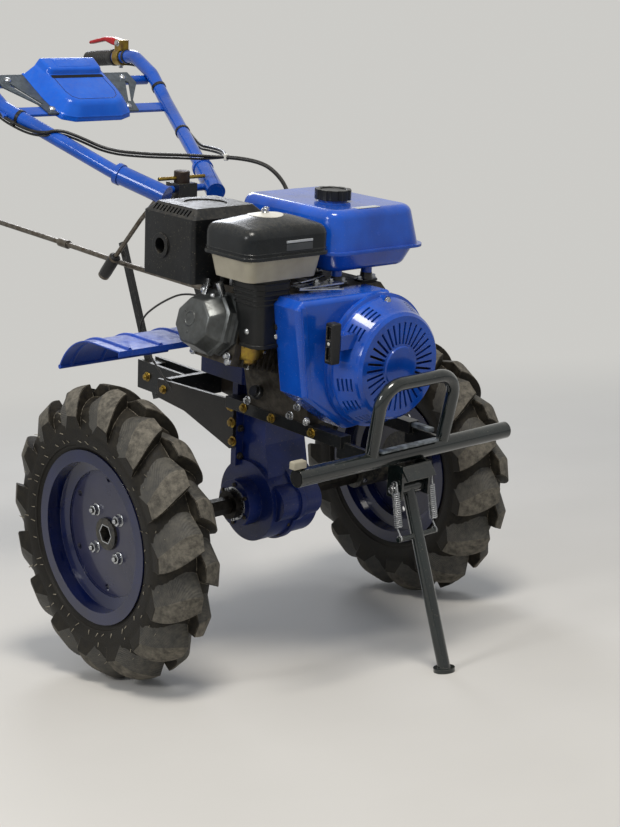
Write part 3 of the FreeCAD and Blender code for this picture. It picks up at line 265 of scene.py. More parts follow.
rim_blue, tree, place = start_finish("rim_navy_enamel")
on_disc = stretch(tree, reach_from_axle(tree, place), DISC_RADIUS, DISC_RADIUS - 0.005)
edge, worn = edge_wear(tree, place, 1.6, 0.3)
bloom = noise_between(tree, place, 60, 0.3, 0.7, 1.0, 6.0)
# The pale film on the disc is part dried dust, part painted reflection.
film = product(tree, on_disc, stretch(tree, bloom, 0.0, 1.0, 0.12, 0.38))
specks = noise_between(tree, place, 5, 0.66, 0.8, 0.07, 5.0)
film = math_of(tree, "MAXIMUM", film, specks)
paint = mix(tree, noise_between(tree, place, 90, 0.35, 0.65), "#060e30", "#08143f")
tint = mix(tree, worn, mix(tree, film, paint, "#57545c"), BARE)
dull = math_of(tree, "MULTIPLY_ADD", film, DUST_DULLS, 0.16)
ripple = grain(tree, noise(tree, place, 5), 0.05, edge)
close_finish(tree, Base_Color=tint, Roughness=dull, Normal=ripple, Specular_IOR_Level=0.3, Coat_Weight=0.5,
             Coat_Roughness=0.06)
print("rim enamel ready")

# %% [markdown]
# ## Moulded plastic and rubber
# The air filter, its pale band, the duct, the cap and the console are injection moulded. A mould leaves a
# fine etched grain and an even, soft sheen; hand grips and cable sheaths are softer and duller still.

# %% Moulded pieces
ETCH_MM, ETCH_DEPTH = 1.1, 0.03


def moulded(name, colour, worn, gloss=0.35, dust=0.2, sheen=0.0, edge_mm=1.4, pale_edges=0.0):
    """Moulded plastic or rubber with an etched grain and a film of dust on top."""
    material, tree, place = start_finish(name)
    plastic = mix(tree, noise_between(tree, place, 45, 0.35, 0.7), colour, worn)
    edge, rubbed = edge_wear(tree, place, edge_mm, pale_edges)
    settled = product(tree, noise_between(tree, place, 9, 0.4, 0.8, dust, 6.0, 0.7), upward(tree))
    tint = mix(tree, rubbed, mix(tree, settled, plastic, DUST), "#a9a393")
    dull = math_of(tree, "MULTIPLY_ADD", settled, 0.7, gloss)
    skin = grain(tree, noise(tree, place, ETCH_MM, 2.0), ETCH_DEPTH, edge)
    close_finish(tree, Base_Color=tint, Roughness=dull, Normal=skin, Specular_IOR_Level=0.35,
                 Sheen_Weight=sheen)
    return material


filter_black = moulded("air_filter_black_abs", "#121517", "#1a1e22", gloss=0.24)
duct_black = moulded("duct_black_nylon", "#0d0e0f", "#141617", gloss=0.36)
pull_black = moulded("pull_black_nylon", "#121314", "#1b1c1d", gloss=0.34, pale_edges=1.0, edge_mm=2.4)
cap_black = moulded("cap_black_nylon", "#131415", "#1c1e20", gloss=0.32, edge_mm=2.0)
band_cream = moulded("band_cream_polypropylene", "#aaa390", "#97907e", gloss=0.42, dust=0.3)
console_blue = moulded("console_blue_abs", "#0c55bf", "#155fca", gloss=0.2, dust=0.15, edge_mm=2.0)
grip_rubber = moulded("grip_black_rubber", "#141414", "#1e1e1e", gloss=0.5, sheen=0.1)
cable_black = moulded("cable_black_pvc", "#101011", "#191919", gloss=0.34)
cable_pale = moulded("cable_grey_pvc", "#a7a79f", "#8d8c84", gloss=0.4)
clip_white = moulded("clip_white_nylon", "#d5d3c9", "#bdbab0", gloss=0.4)
lever_red = moulded("lever_red_vinyl", "#b50d1b", "#960a15", gloss=0.24)
# Painted shade: a near-black finish without dust, laid in slots, a bore, tube ends and a step where shade
# falls.
painted_shade_black = moulded("painted_shade_black_paint", "#040405", "#070708", gloss=0.8, dust=0.0)
label_grey = moulded("blank_label_grey_vinyl", "#3d4043", "#484b4e", gloss=0.4, dust=0.1)
label_silver = moulded("blank_label_silver_vinyl", "#b9bcbe", "#a3a6a8", gloss=0.3, dust=0.1)
print("moulded finishes ready")

# %% [markdown]
# ## Bare and plated metal
# Bolts and the carburettor bowl are zinc plated with a yellow passivation that shifts in hue from patch to
# patch; the engine is die-cast aluminium with a matt, slightly pitted skin, greasy and dusty in places.

# %% Bare metals
PIT_MM, METAL_EDGE_MM = 2.0, 1.0


def bare_metal(name, colour, stain, rough=0.35, grime=0.3, pit_depth=0.04, metal=1.0, soil="#2c261d"):
    """Plated, machined or cast metal with stains in a second colour and grime in patches."""
    material, tree, place = start_finish(name)
    plated = mix(tree, noise_between(tree, place, 14, 0.35, 0.68), colour, stain)
    dirt = noise_between(tree, place, 16, 0.46, 0.7, grime, 7.0, 0.7)
    tint = mix(tree, dirt, plated, soil)
    metallic = stretch(tree, dirt, 0.0, 1.0, metal, 0.0)
    dull = math_of(tree, "MULTIPLY_ADD", dirt, 0.4, rough)
    edge = add_node(tree, "Bevel", {"Radius": METAL_EDGE_MM * MM}, samples=4)
    skin = grain(tree, noise(tree, place, PIT_MM), pit_depth, edge)
    close_finish(tree, Base_Color=tint, Roughness=dull, Metallic=metallic, Normal=skin)
    return material


zinc_yellow = bare_metal("yellow_zinc_plate", "#a58c3c", "#84683a", rough=0.3, grime=0.5)
zinc_bright = bare_metal("bright_zinc_plate", "#c6c8ca", "#a9acb0", rough=0.25, grime=0.2)
die_cast = bare_metal("greasy_die_cast_aluminium", "#5d5850", "#47423a", rough=0.5, grime=0.9, pit_depth=0.2,
                      soil="#1a1713")
rocker_grey = bare_metal("rocker_cover_aluminium_paint", "#5b5e5e", "#4c4e4e", rough=0.32, grime=0.35,
                         metal=0.75)
rod_steel = bare_metal("bare_steel_rod", "#7b766e", "#5d5347", rough=0.4, grime=0.6)
shaft_steel = bare_metal("oiled_shaft_steel", "#33312e", "#242220", rough=0.4, grime=0.7)
plate_grey = bare_metal("console_plate_galvanised", "#5d666e", "#4b545c", rough=0.38, grime=0.35, metal=0.8)
print("metals ready")

# %% [markdown]
# ## Tyre rubber
# A traction tyre is moulded black rubber. Its sidewall stays dark; the tops of its lugs are scuffed to a dry
# grey-brown by soil, and dust lies in the valleys. The wear follows the distance from the axle, so it is
# worked out from there. Lugs and casing are one rubber, yet the lugs' ramps are painted a lighter grey, as
# painted light on the faces that slope up toward the light; the hairs from the mould's vents are pale.

# %% Tyre rubber
MOULDED_LINE_STEP = 0.0035


def tyre_finish(name, clean, scuffed, share, rough_low, crumb_mm, crumb_depth, stripe=0.0):
    """Rubber whose soil thickens toward the lugs' tips; stripe is the depth in mm of moulded lines."""
    material, tree, place = start_finish(name)
    reach = reach_from_axle(tree, place)
    height = stretch(tree, reach, 0.18, 0.285, 0.12)
    edge, worn = edge_wear(tree, place, 1.8, 0.9)
    cling = noise_between(tree, place, 15, 0.38, 0.68, share, 9.0, 0.72)
    soil = product(tree, height, cling)
    tint = mix(tree, product(tree, worn, height), mix(tree, soil, clean, scuffed), "#a39986")
    rough = stretch(tree, soil, 0.0, 1.0, rough_low, 0.95)
    skin = grain(tree, noise(tree, place, crumb_mm, 6.0, 0.75), crumb_depth, edge)
    if stripe:
        lines = math_of(tree, "SINE", product(tree, reach, 2 * math.pi / MOULDED_LINE_STEP))
        skin = grain(tree, lines, stripe, skin)
    close_finish(tree, Base_Color=tint, Roughness=rough, Normal=skin, Specular_IOR_Level=0.2)
    return material


tyre_rubber = tyre_finish("tyre_rubber_casing", "#12100d", "#3e392f", 0.8, 0.5, 3.0, 0.6)
lug_top = tyre_finish("tyre_rubber_scuffed_top", "#45423c", "#807a6e", 1.0, 0.7, 2.5, 1.2)
# The ramps' rubber is painted lighter than the casing's: painted light on the sloping faces, with moulded
# lines and soil.
lug_ramp_painted_light = tyre_finish("tyre_rubber_ramp_painted_light", "#3f3e3b", "#67635a", 0.8, 0.42, 4.0, 0.25, 0.25)
# The vent hairs are given a pale colour.
vent_hair = moulded("pale_rubber_hair", "#a39b88", "#857d6c", gloss=0.6)
lock_brown = bare_metal("browned_lock_steel", "#3a2c22", "#2a211b", rough=0.5, grime=0.7, metal=0.4)
chipped_paint = bare_metal("chipped_primer_paint", "#8f979c", "#4a5054", rough=0.5, grime=0.8, metal=0.2)
print("finishes:", len(bpy.data.materials))

# %% [markdown]
# ## A finish for every solid
# The record names a slot for each solid; each slot gets the finish of the real piece. A few solids share a
# slot with others but were painted or worn differently, and are named one by one.

# %% Give each solid its finish
SLOT_FINISH = {
    "tyre_rubber": tyre_rubber, "rim_blue": rim_blue, "hub_steel": hub_black, "shaft_steel": shaft_steel,
    "case_blue": case_blue, "engine_casting": die_cast, "rocker_grey": rocker_grey,
    "engine_blue": tinware_blue, "cap_black": cap_black, "heat_black": heat_black,
    "filter_black": filter_black, "filter_band": band_cream, "duct_black": duct_black,
    "bowl_zinc": zinc_yellow, "frame_black": frame_black, "bumper_black": bumper_black,
    "spring_zinc": zinc_bright, "handle_blue": tube_blue, "console_blue": console_blue,
    "plate_grey": plate_grey, "grip_rubber": grip_rubber, "lever_red": lever_red,
    "perch_zinc": zinc_yellow, "rod_steel": rod_steel, "cable_black": cable_black,
}
OWN_FINISH = {
    "recoil_handle": pull_black, "gusset_left": gusset_black, "gusset_right": gusset_black,
    "throttle_plate": zinc_bright, "fender_left": fender_blue, "fender_right": fender_blue,
}
slot_of = {part["node"]: part["material_slot"] for part in frame["record"]["subparts"]}
for node_name, solid in NODES.items():
    solid.data.materials.clear()
    solid.data.materials.append(OWN_FINISH.get(node_name, SLOT_FINISH[slot_of[node_name]]))
print("finished solids:", len(NODES))

# %% [markdown]
# ## Setting a piece in its place
# Every added piece is modelled in millimetres on the level machine, where its sizes are easy to read. One
# helper then turns the mesh into the scene, gives it its finish and says which moving body carries it.

# %% Helper that sets a piece in place
def set_piece(name, bm, finishes, body="chassis", slot="spring_zinc", instead_of=(), sharp=35.0):
    """Turns a level mesh in millimetres into a piece; edges sharper than the angle stay crisp."""
    bmesh.ops.recalc_face_normals(bm, faces=bm.faces)
    bm.transform(LEVEL)
    mesh = bpy.data.meshes.new(name)
    bm.to_mesh(mesh)
    bm.free()
    for finish in finishes if isinstance(finishes, (list, tuple)) else (finishes,):
        mesh.materials.append(finish)
    mesh.shade_smooth()
    mesh.set_sharp_from_angle(angle=math.radians(sharp))
    piece = bpy.data.objects.new(name, mesh)
    bpy.context.scene.collection.objects.link(piece)
    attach(piece, body)
    if instead_of:
        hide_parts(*instead_of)
    print(name, len(mesh.polygons), "faces")
    return piece


def facing(place, direction, spin=0.0):
    """A matrix that sets a thing made along +Z at a place, looking in a direction."""
    turned_to = Vector(direction).to_track_quat("Z", "Y").to_matrix().to_4x4()
    return Matrix.Translation(Vector(place)) @ turned_to @ Matrix.Rotation(math.radians(spin), 4, "Z")


def between(a, b, part):
    """The value a fraction of the way from a to b."""
    return a + (b - a) * part


def around(count, radius, start=0.0, sweep=360.0):
    """Places round a circle, as (angle in degrees, side, up)."""
    for k in range(count):
        angle = start + sweep * k / count
        yield angle, radius * math.cos(math.radians(angle)), radius * math.sin(math.radians(angle))


SIDES = (("right", -1), ("left", 1))
BOTH = (-1, 1)
print("setting helpers ready")

# %% [markdown]
# ## Small shapes that come back everywhere
# A turned piece is a profile spun round its axis. A bolt is a six-sided cone with its rim bevelled, on a
# washer. A rounded bar is a cube with its edges bevelled. Each helper adds its shape to a mesh under way.

# %% Helpers for turned pieces, bolts and bars


def round_edges(bm, edges, radius, segments=2, clamp=False):
    """Rounds edges by a bevel; a single segment makes it a chamfer."""
    bmesh.ops.bevel(bm, geom=edges, offset=radius, segments=segments, profile=0.5, affect="EDGES",
                    material=-1, clamp_overlap=clamp)


def profile_spin(bm, points, steps, axis, centre=(0.0, 0.0, 0.0)):
    """Spins a chain of points a full turn round an axis."""
    verts = [bm.verts.new(point) for point in points]
    edges = [bm.edges.new(pair) for pair in zip(verts[:-1], verts[1:])]
    bmesh.ops.spin(bm, geom=verts + edges, cent=centre, axis=axis, angle=2 * math.pi, steps=steps,
                   use_merge=True)


def turned(bm, matrix, profile, steps=32):
    """A lathe-turned solid along the matrix's Z, from a chain of (radius, height) points."""
    made = bmesh.new()
    profile_spin(made, [(max(r, 0.0), 0.0, z) for r, z in profile], steps, (0, 0, 1))
    bmesh.ops.remove_doubles(made, verts=made.verts, dist=0.01)
    add_copy(bm, made, matrix)
    made.free()


def add_copy(bm, other, matrix):
    """Adds a copy of another mesh, placed by a matrix."""
    mesh = bpy.data.meshes.new("copy")
    other.to_mesh(mesh)
    mesh.transform(matrix)
    bm.from_mesh(mesh)
    bpy.data.meshes.remove(mesh)


def bar(bm, matrix, size, radius=1.0, segments=2):
    """A bar of a size in x, y and z about the matrix's origin, with rounded edges."""
    made = bmesh.new()
    bmesh.ops.create_cube(made, size=1.0)
    bmesh.ops.scale(made, vec=size, verts=made.verts)
    if radius:
        round_edges(made, list(made.edges), radius, segments)
    add_copy(bm, made, matrix)
    made.free()


def bolt(bm, place, direction, flats=13.0, height=6.0, washer=10.5, spin=0.0, tail=0.0):
    """A hexagon head on a washer, and the end of its thread where tail is above 0."""
    at = facing(place, direction, spin)
    if washer:
        turned(bm, at, [(0, -1.0), (washer, -1.0), (washer, 0.9), (washer - 0.7, 1.5), (0, 1.5)], 24)
    head = bmesh.new()
    bmesh.ops.create_cone(head, cap_ends=True, segments=6, radius1=flats / math.sqrt(3),
                          radius2=flats / math.sqrt(3), depth=height)
    top = [e for e in head.edges if all(v.co.z > 0 for v in e.verts)]
    round_edges(head, top, flats * 0.07)
    add_copy(bm, head, at @ Matrix.Translation((0, 0, height / 2 + (1.4 if washer else 0.0))))
    head.free()
    if tail:
        r = flats * 0.27
        end = height + tail
        turned(bm, at, [(0, 0), (r, 0), (r, end), (r - 1.0, end + 1.2), (0, end + 1.2)], 16)


def bolt_piece(name, rows, finish, body="chassis", slot="spring_zinc"):
    """A piece of bolts only; each row is a place, a direction and the sizes that the bolt helper takes."""
    bm = bmesh.new()
    for row in rows:
        bolt(bm, *row)
    set_piece(name, bm, finish, body, slot)


def round_head(bm, place, direction, radius=8.0, height=4.5):
    """A domed screw head."""
    dome = [(radius * math.cos(t), height * math.sin(t)) for t in (0.0, 0.4, 0.8, 1.2)]
    turned(bm, facing(place, direction), [(0, -0.5), (radius, -0.5)] + dome + [(0, height)], 20)


def round_bar(bm, start, end, radius, segments=16, end_radius=None):
    """A straight round bar from place to place, its ends slightly chamfered."""
    a, b = Vector(start), Vector(end)
    length = (b - a).length
    last = radius if end_radius is None else end_radius
    cut = min(1.0, radius * 0.3)
    turned(bm, facing(a, b - a), [(0, 0), (radius - cut, 0), (radius, cut), (last, length - cut),
                                  (last - cut, length), (0, length)], segments)


print("shape helpers ready")

# %% [markdown]
# ## Traction tyres
# The casing of such a tyre is nearly round in section. Two staggered rows of tall lugs start at its middle
# and sweep back over the shoulder. Seen along the tread each lug is a saw tooth: a long ramp, a narrow top
# and a steep wall. The casing is a profile spun round the axle. A lug is a four-sided end that is extruded
# from station to station, bevelled, and copied round the wheel; the other row is its mirror image.

# %% The casing
HALF_TRACK = 400.0
TYRE_RADIUS = 295.0
FOOT_RADIUS = 270.0
LUGS = 15
CASING = [(49.8, 153.2), (49.8, 172.5), (52.0, 178.0), (54.5, 182.0), (58.0, 184.0), (58.0, 187.5),
          (59.5, 192.0), (61.8, 206.0), (60.8, 218.0), (57.5, 231.0), (52.0, 243.5), (43.5, 253.5),
          (32.0, 260.5), (17.0, 266.0), (0.0, 268.5)]


def casing(bm):
    outside = [(x, 0.0, r) for x, r in CASING]
    inside = [(-x, 0.0, r) for x, r in reversed(CASING[:-1])]
    profile_spin(bm, outside + inside + [outside[0]], 120, (1, 0, 0))
    bmesh.ops.remove_doubles(bm, verts=bm.verts, dist=0.05)


# %% [markdown]
# A lug's sections from the middle of the tread to the shoulder are measured on the solid tyre. Between them
# each value runs along the cubic through its four stations, so the lug curves instead of bending.

# %% One lug
# top: x outward, begins and ends round the tyre (degrees), drop under the tyre's radius; foot: the same
LUG_SECTIONS = [(0, 3.0, -3.0, 0, -2, 15.0, -4.5, 10), (32, 3.2, -6.2, 8, 28, 16.5, -8.0, 16),
                (54, 0.0, -9.5, 27, 50, 13.0, -11.0, 36), (68.6, -4.5, -12.0, 54, 57, 6.0, -13.0, 70)]
STATIONS = 10


def along_sections(column, part):
    """A column's value at a part from 0 to 1 of the lug, on the cubic through its four stations."""
    t = part * 3
    total = 0.0
    for i in range(4):
        weight = 1.0
        for j in range(4):
            if j != i:
                weight *= (t - j) / (i - j)
        total += weight * LUG_SECTIONS[i][column]
    return total


def round_axle(x, degrees, radius):
    angle = math.radians(degrees)
    return Vector((x, radius * math.sin(angle), radius * math.cos(angle)))


def lug_corners(part):
    values = [along_sections(column, part) for column in range(8)]
    x, top_lead, top_trail, drop, foot_x, lead, trail, foot_drop = values
    top, foot = TYRE_RADIUS - drop, FOOT_RADIUS - foot_drop
    return [round_axle(foot_x, lead, foot), round_axle(x, top_lead, top), round_axle(x, top_trail, top),
            round_axle(foot_x, trail, foot)]


# which finish the side between two corners takes: the casing's rubber 0, the scuffed top 1, the ramp 2,
# whose lighter grey is painted light
SIDE_FINISH = {(0, 1): 2, (1, 2): 1, (2, 3): 0, (0, 3): 0}


def make_lug(bm):
    """Starts as one face and is extruded through its stations."""
    ring = [bm.verts.new(corner) for corner in lug_corners(0.0)]
    end = bm.faces.new(ring)
    corner_of = {v: k for k, v in enumerate(ring)}
    for k in range(1, STATIONS + 1):
        end = bmesh.ops.extrude_discrete_faces(bm, faces=[end])["faces"][0]
        for corner, (v, place) in enumerate(zip(end.verts, lug_corners(k / STATIONS))):
            v.co = place
            corner_of[v] = corner
    bm.faces.new(list(reversed(ring)))
    for face in bm.faces:
        corners = tuple(sorted({corner_of[v] for v in face.verts}))
        face.material_index = SIDE_FINISH.get(corners, 0)
    bmesh.ops.recalc_face_normals(bm, faces=bm.faces)
    bm.normal_update()
    crest = [e for e in bm.edges if e.calc_face_angle(0) > math.radians(20)
             and min(v.co.yz.length for v in e.verts) > 215]
    round_edges(bm, crest, 1.4, 1)


lug = bmesh.new()
make_lug(lug)
print("one lug:", len(lug.faces), "faces")

# %% [markdown]
# Wear takes a little off each lug, never the same, from a seeded chance. Short pale hairs of rubber still
# stand where the mould was vented: a ring of them by the rim, others on the lugs' feet and flanks.

# %% The two tyres
chance = random.Random(7)
ROW_START = {-1: 7.0, 1: 19.0}
HAIR_LEAN, HAIR_REACH = 50, 68.0
HAIR_RINGS = [(189.0, 58.6, 40), (207.0, 61.6, 15), (231.0, 57.5, 30), (246.0, 50.5, 30)]


def add_hair(bm, turn, reach, outward):
    """A thin stroke of rubber on the sidewall, leaning over it."""
    length = chance.uniform(6.0, 10.0)
    base = round_axle(outward, turn, reach)
    lean = math.radians(HAIR_LEAN + chance.uniform(-15, 15))
    swing = math.radians(turn + chance.uniform(-50, 50))
    along = Vector((math.cos(lean), math.sin(lean) * math.sin(swing), math.sin(lean) * math.cos(swing)))
    tip = base + along * length
    tip.x = min(tip.x, HAIR_REACH)
    hair = bmesh.new()
    bmesh.ops.create_cone(hair, cap_ends=True, segments=5, radius1=0.9, radius2=0.4, depth=length)
    add_copy(bm, hair, facing((base + tip) / 2, tip - base))
    hair.free()


for side, sign in SIDES:
    tyre = bmesh.new()
    casing(tyre)
    for row in BOTH:
        for k in range(LUGS):
            turn = ROW_START[row] + 360.0 / LUGS * k
            wear = Matrix.Diagonal((1.0 - 0.01 * chance.random(), 1.0 - 0.006 * chance.random(),
                                    1.0 - 0.006 * chance.random(), 1.0))
            add_copy(tyre, lug, Matrix.Rotation(math.radians(-turn), 4, "X")
                     @ Matrix.Scale(row, 4, (1, 0, 0)) @ wear)
    bmesh.ops.recalc_face_normals(tyre, faces=tyre.faces)
    rubber_faces = len(tyre.faces)
    for reach, outward, count in HAIR_RINGS:
        for k in range(count):
            add_hair(tyre, 360.0 / count * k + chance.uniform(-3, 3), reach, outward)
    tyre.faces.ensure_lookup_table()
    for face in tyre.faces[rubber_faces:]:
        face.material_index = 3
    bmesh.ops.scale(tyre, vec=(sign, 1, 1), verts=tyre.verts)
    bmesh.ops.translate(tyre, vec=(sign * HALF_TRACK, 0, 0), verts=tyre.verts)
    set_piece("tyre_tread_" + side, tyre, (tyre_rubber, lug_top, lug_ramp_painted_light, vent_hair), "wheels",
              "tyre_rubber", ("tyre_" + side,), 16.0)
lug.free()

# %% [markdown]
# ## Wheel fasteners
# Four zinc-plated nuts hold each rim to its hub, on the solid's own studs. A pale worn edge runs round the
# hexagonal bore, and a near-black plug inside it is painted shade for the bore's depth.

# %% Wheel nuts and the bore's edge
DISC_FACE, HUB_END = 412.0, 418.0
NUT_CIRCLE = 55.0
BORE_CORNER = 32.0 / math.sqrt(3)

for side, sign in SIDES:
    bolt_piece("wheel_nuts_" + side, [((sign * DISC_FACE, y, z), (sign, 0, 0), 19.0, 9.0, 12.5, angle, 5.0)
                                      for angle, y, z in around(4, NUT_CIRCLE, 45.0)], zinc_bright, "wheels")
    edge_ring = bmesh.new()
    for radius in (BORE_CORNER, BORE_CORNER + 2.4):
        bmesh.ops.create_circle(edge_ring, cap_ends=False, segments=6, radius=radius,
                                matrix=facing((sign * (HUB_END + 0.4), 0, 0), (sign, 0, 0), 30.0))
    bmesh.ops.bridge_loops(edge_ring, edges=edge_ring.edges)
    set_piece("bore_edge_" + side, edge_ring, zinc_bright, "wheels", "spring_zinc")
    # The plug is painted shade, in the near-black finish, deep in the bore.
    fill = bmesh.new()
    round_bar(fill, (sign * (DISC_FACE - 40), 0, 0), (sign * (DISC_FACE - 19.5), 0, 0), 17.0)
    set_piece("bore_painted_shade_" + side, fill, painted_shade_black, "wheels", "shaft_steel")

# %% [markdown]
# ## Air filter hood
# The hood over the air filter is one moulding: straight sides, soft corners, a crowned top and a bead round
# its lower rim. It starts as a cube with bevelled edges, is cut into strips, and each strip's points are
# raised by the crown. A round blank plate and a wing nut hold it down; the label on its front is left bare.

# %% Helper for a slab with rounded corners


def slab(bm, low, high, corner, edge, under=0.0, cuts=0, shape=None, matrix=Matrix()):
    """A box from low to high, its upright edges rounded by corner, its top by edge, its foot by under."""
    made = bmesh.new()
    bmesh.ops.create_cube(made, size=1.0)
    size = [b - a for a, b in zip(low, high)]
    bmesh.ops.scale(made, vec=size, verts=made.verts)
    bmesh.ops.translate(made, vec=[(a + b) / 2 for a, b in zip(low, high)], verts=made.verts)
    upright = [e for e in made.edges if abs(e.verts[0].co.z - e.verts[1].co.z) > 0.1]
    if corner:
        round_edges(made, upright, corner, 7)
    for height, radius in ((high[2], edge), (low[2], under)):
        if radius:
            rim = [e for e in made.edges if all(abs(v.co.z - height) < 0.01 for v in e.verts)]
            round_edges(made, rim, radius, 5)
    for k in range(1, cuts):
        for axis in (0, 1):
            at, normal = [0.0] * 3, [0.0] * 3
            at[axis] = between(low[axis], high[axis], k / cuts)
            normal[axis] = 1.0
            bmesh.ops.bisect_plane(made, geom=list(made.verts) + list(made.edges) + list(made.faces),
                                   plane_co=at, plane_no=normal)
    if shape:
        for v in made.verts:
            v.co = shape(v.co)
    add_copy(bm, made, matrix)
    made.free()


print("slab helper ready")

# %% The hood
HOOD_LOW, HOOD_HIGH = (-285.0, -250.0, 566.0), (-86.0, -108.0, 620.0)
HOOD_MIDDLE = (-185.5, -179.0)
HOOD_CROWN, CROWN_POWER, CROWN_FOOT = 20.0, 1.9, 600.0
PLATE_PLACE = (-189, -176)


def hood_crown(x, y):
    """How far the hood's top rises above its edge at a place."""
    u = (x - HOOD_MIDDLE[0]) / (HOOD_HIGH[0] - HOOD_MIDDLE[0])
    v = (y - HOOD_MIDDLE[1]) / (HOOD_HIGH[1] - HOOD_MIDDLE[1])
    return HOOD_CROWN * max(0.0, 1 - abs(u) ** CROWN_POWER) * max(0.0, 1 - abs(v) ** CROWN_POWER)


def raise_crown(co):
    part = max(0.0, (co.z - CROWN_FOOT) / (HOOD_HIGH[2] - CROWN_FOOT))
    return Vector((co.x, co.y, co.z + part * hood_crown(co.x, co.y)))


def on_hood(co):
    return Vector((co.x, co.y, HOOD_HIGH[2] + hood_crown(co.x, co.y) + co.z))


hood = bmesh.new()
slab(hood, HOOD_LOW, HOOD_HIGH, 24.0, 16.0, cuts=12, shape=raise_crown)
slab(hood, (-288.0, -253.0, 566.0), (-83.0, -105.0, 573.0), 26.0, 2.0, 1.0)
slab(hood, (-286.2, -251.2, 577.0), (-84.8, -106.8, 579.0), 25.0, 0.9)
set_piece("air_filter_hood", hood, filter_black, "chassis", "filter_black",
          ("air_filter_cover",), 40.0)

plate = bmesh.new()
for radius in (8.0, 20.0, 34.0):
    bmesh.ops.create_circle(plate, cap_ends=radius == 8.0, segments=48, radius=radius)
rings = sorted(plate.edges, key=lambda e: e.verts[0].co.length)
bmesh.ops.bridge_loops(plate, edges=rings[:96])
bmesh.ops.bridge_loops(plate, edges=[e for e in plate.edges if min(v.co.length for v in e.verts) > 19.0])
bmesh.ops.solidify(plate, geom=plate.faces, thickness=1.2)
bmesh.ops.translate(plate, vec=(*PLATE_PLACE, 0), verts=plate.verts)
for v in plate.verts:
    v.co = on_hood(Vector((v.co.x, v.co.y, v.co.z + 0.6)))
set_piece("air_filter_round_plate", plate, clip_white, "chassis", "filter_band")

wing_nut = bmesh.new()
nut_place = on_hood(Vector((*PLATE_PLACE, 0)))
turned(wing_nut, facing(nut_place, (0, 0, 1)),
       [(0, 0), (7, 0), (7, 1.5), (5, 2.5), (4.5, 8), (3, 9), (3, 11), (0, 11)], 20)
for turn in (20, 200):
    slab(wing_nut, (3.5, -1.2, 3), (11.5, 1.2, 12), 1.0, 1.0,
         matrix=facing(nut_place, (0, 0, 1), turn) @ Matrix.Rotation(math.radians(18), 4, "Y"))
set_piece("air_filter_wing_nut", wing_nut, zinc_bright)

for name, z, deep, tall, edge, finish, slot in (
        ("hood_blank_label", 586.5, 1.4, 13, 0.5, label_grey, "duct_black"),
        ("hood_label_strip", 597, 1.6, 4.6, 0.4, label_silver, "spring_zinc")):
    label = bmesh.new()
    bar(label, Matrix.Translation((-166, -250.3, z)), (64, deep, tall), edge, 1)
    set_piece(name, label, finish, "chassis", slot)

# %% [markdown]
# ## Intake elbow and float bowl
# The elbow under the hood is one moulding of black nylon with a broad soft corner in front, thin ribs round
# its neck, and a back that leans in toward its foot, where two bright screws hold it. Out of its front stick
# the grey tips of the choke and fuel levers. The float bowl hangs behind the corner: a turned cup plated in
# yellow zinc, with a lower step and a drain screw. The slab and turned helpers make them all.

# %% Elbow, levers and bowl
DUCT_LOW, DUCT_HIGH = (-242.0, -228.0, 396.0), (-157.0, -138.0, 526.0)
DUCT_LEAN, LEAN_TOP, LEAN_FRONT = 36.0, 500.0, -190.0


def lean_in(co):
    """The elbow's back comes forward toward its foot."""
    down = max(0.0, min(1.0, (LEAN_TOP - co.z) / (LEAN_TOP - DUCT_LOW[2])))
    back = max(0.0, (co.y - LEAN_FRONT) / (DUCT_HIGH[1] - LEAN_FRONT))
    return Vector((co.x, co.y - DUCT_LEAN * down * back, co.z))


duct = bmesh.new()
slab(duct, DUCT_LOW, DUCT_HIGH, 19.0, 2.0, 3.0, cuts=6, shape=lean_in)
for height in (474, 483, 492, 501, 514):
    slab(duct, (-243.6, -229.6, height), (-155.4, -139.0, height + 3.4), 20.0, 1.2, 1.2, cuts=6,
         shape=lean_in)
slab(duct, (-245.0, -231.0, 394.0), (-154.0, -141.0, 401.0), 21.0, 2.0, 1.0, cuts=6, shape=lean_in)
set_piece("intake_elbow", duct, duct_black, "chassis", "duct_black", ("intake_duct",), 30.0)

screws = bmesh.new()
round_head(screws, (-241.5, -197, 424), (-1, 0, 0), 6.5, 4.0)
round_head(screws, (-194, -227.5, 415), (0, -1, 0), 6.5, 4.0)
set_piece("intake_screws", screws, zinc_bright)

pins = bmesh.new()
tips = bmesh.new()
for x, height, length in ((-176, 454, 22), (-186, 434, 14), (-178, 421, 10), (-176, 405, 26)):
    round_bar(pins, (x - 14, -231, height), (x, -231, height), 3.4, 12)
    bar(pins, Matrix.Translation((x - 12, -229, height)), (9, 8, 11), 1.5, 2)
    round_bar(tips, (x, -231, height), (x + length, -231, height + 1), 4.2, 14, 3.6)
set_piece("choke_and_fuel_pins", pins, duct_black, "chassis", "duct_black")
set_piece("choke_and_fuel_tips", tips, cable_pale, "chassis", "cable_black")

BOWL_X, BOWL_Y = -207, -160
bowl = bmesh.new()
turned(bowl, Matrix.Translation((BOWL_X, BOWL_Y, 0)),
       [(0, 400), (34, 400), (34, 393), (31, 391), (30.5, 368), (28, 363), (21, 361), (20, 355), (17, 352),
        (7, 351), (7, 346), (0, 346)], 48)
for turn, x, y in around(4, 31.0, 45.0):
    turned(bowl, Matrix.Translation((BOWL_X + x, BOWL_Y + y, 388)), [(0, 0), (4.5, 0), (4.5, 9), (0, 9)], 14)
set_piece("float_bowl", bowl, zinc_yellow, "chassis", "bowl_zinc", ("carburettor",))
throat = bmesh.new()
slab(throat, (-226, -172, 398), (-176, -118, 462), 8.0, 4.0, 2.0)
turned(throat, facing((-160, -140, 440), (1, 0, 0.2)),
       [(0, -10), (22, -10), (22, 30), (26, 31), (26, 38), (0, 38)], 28)
bar(throat, Matrix.Translation((-172, -150, 440)), (9, 60, 52), 3.0, 2)
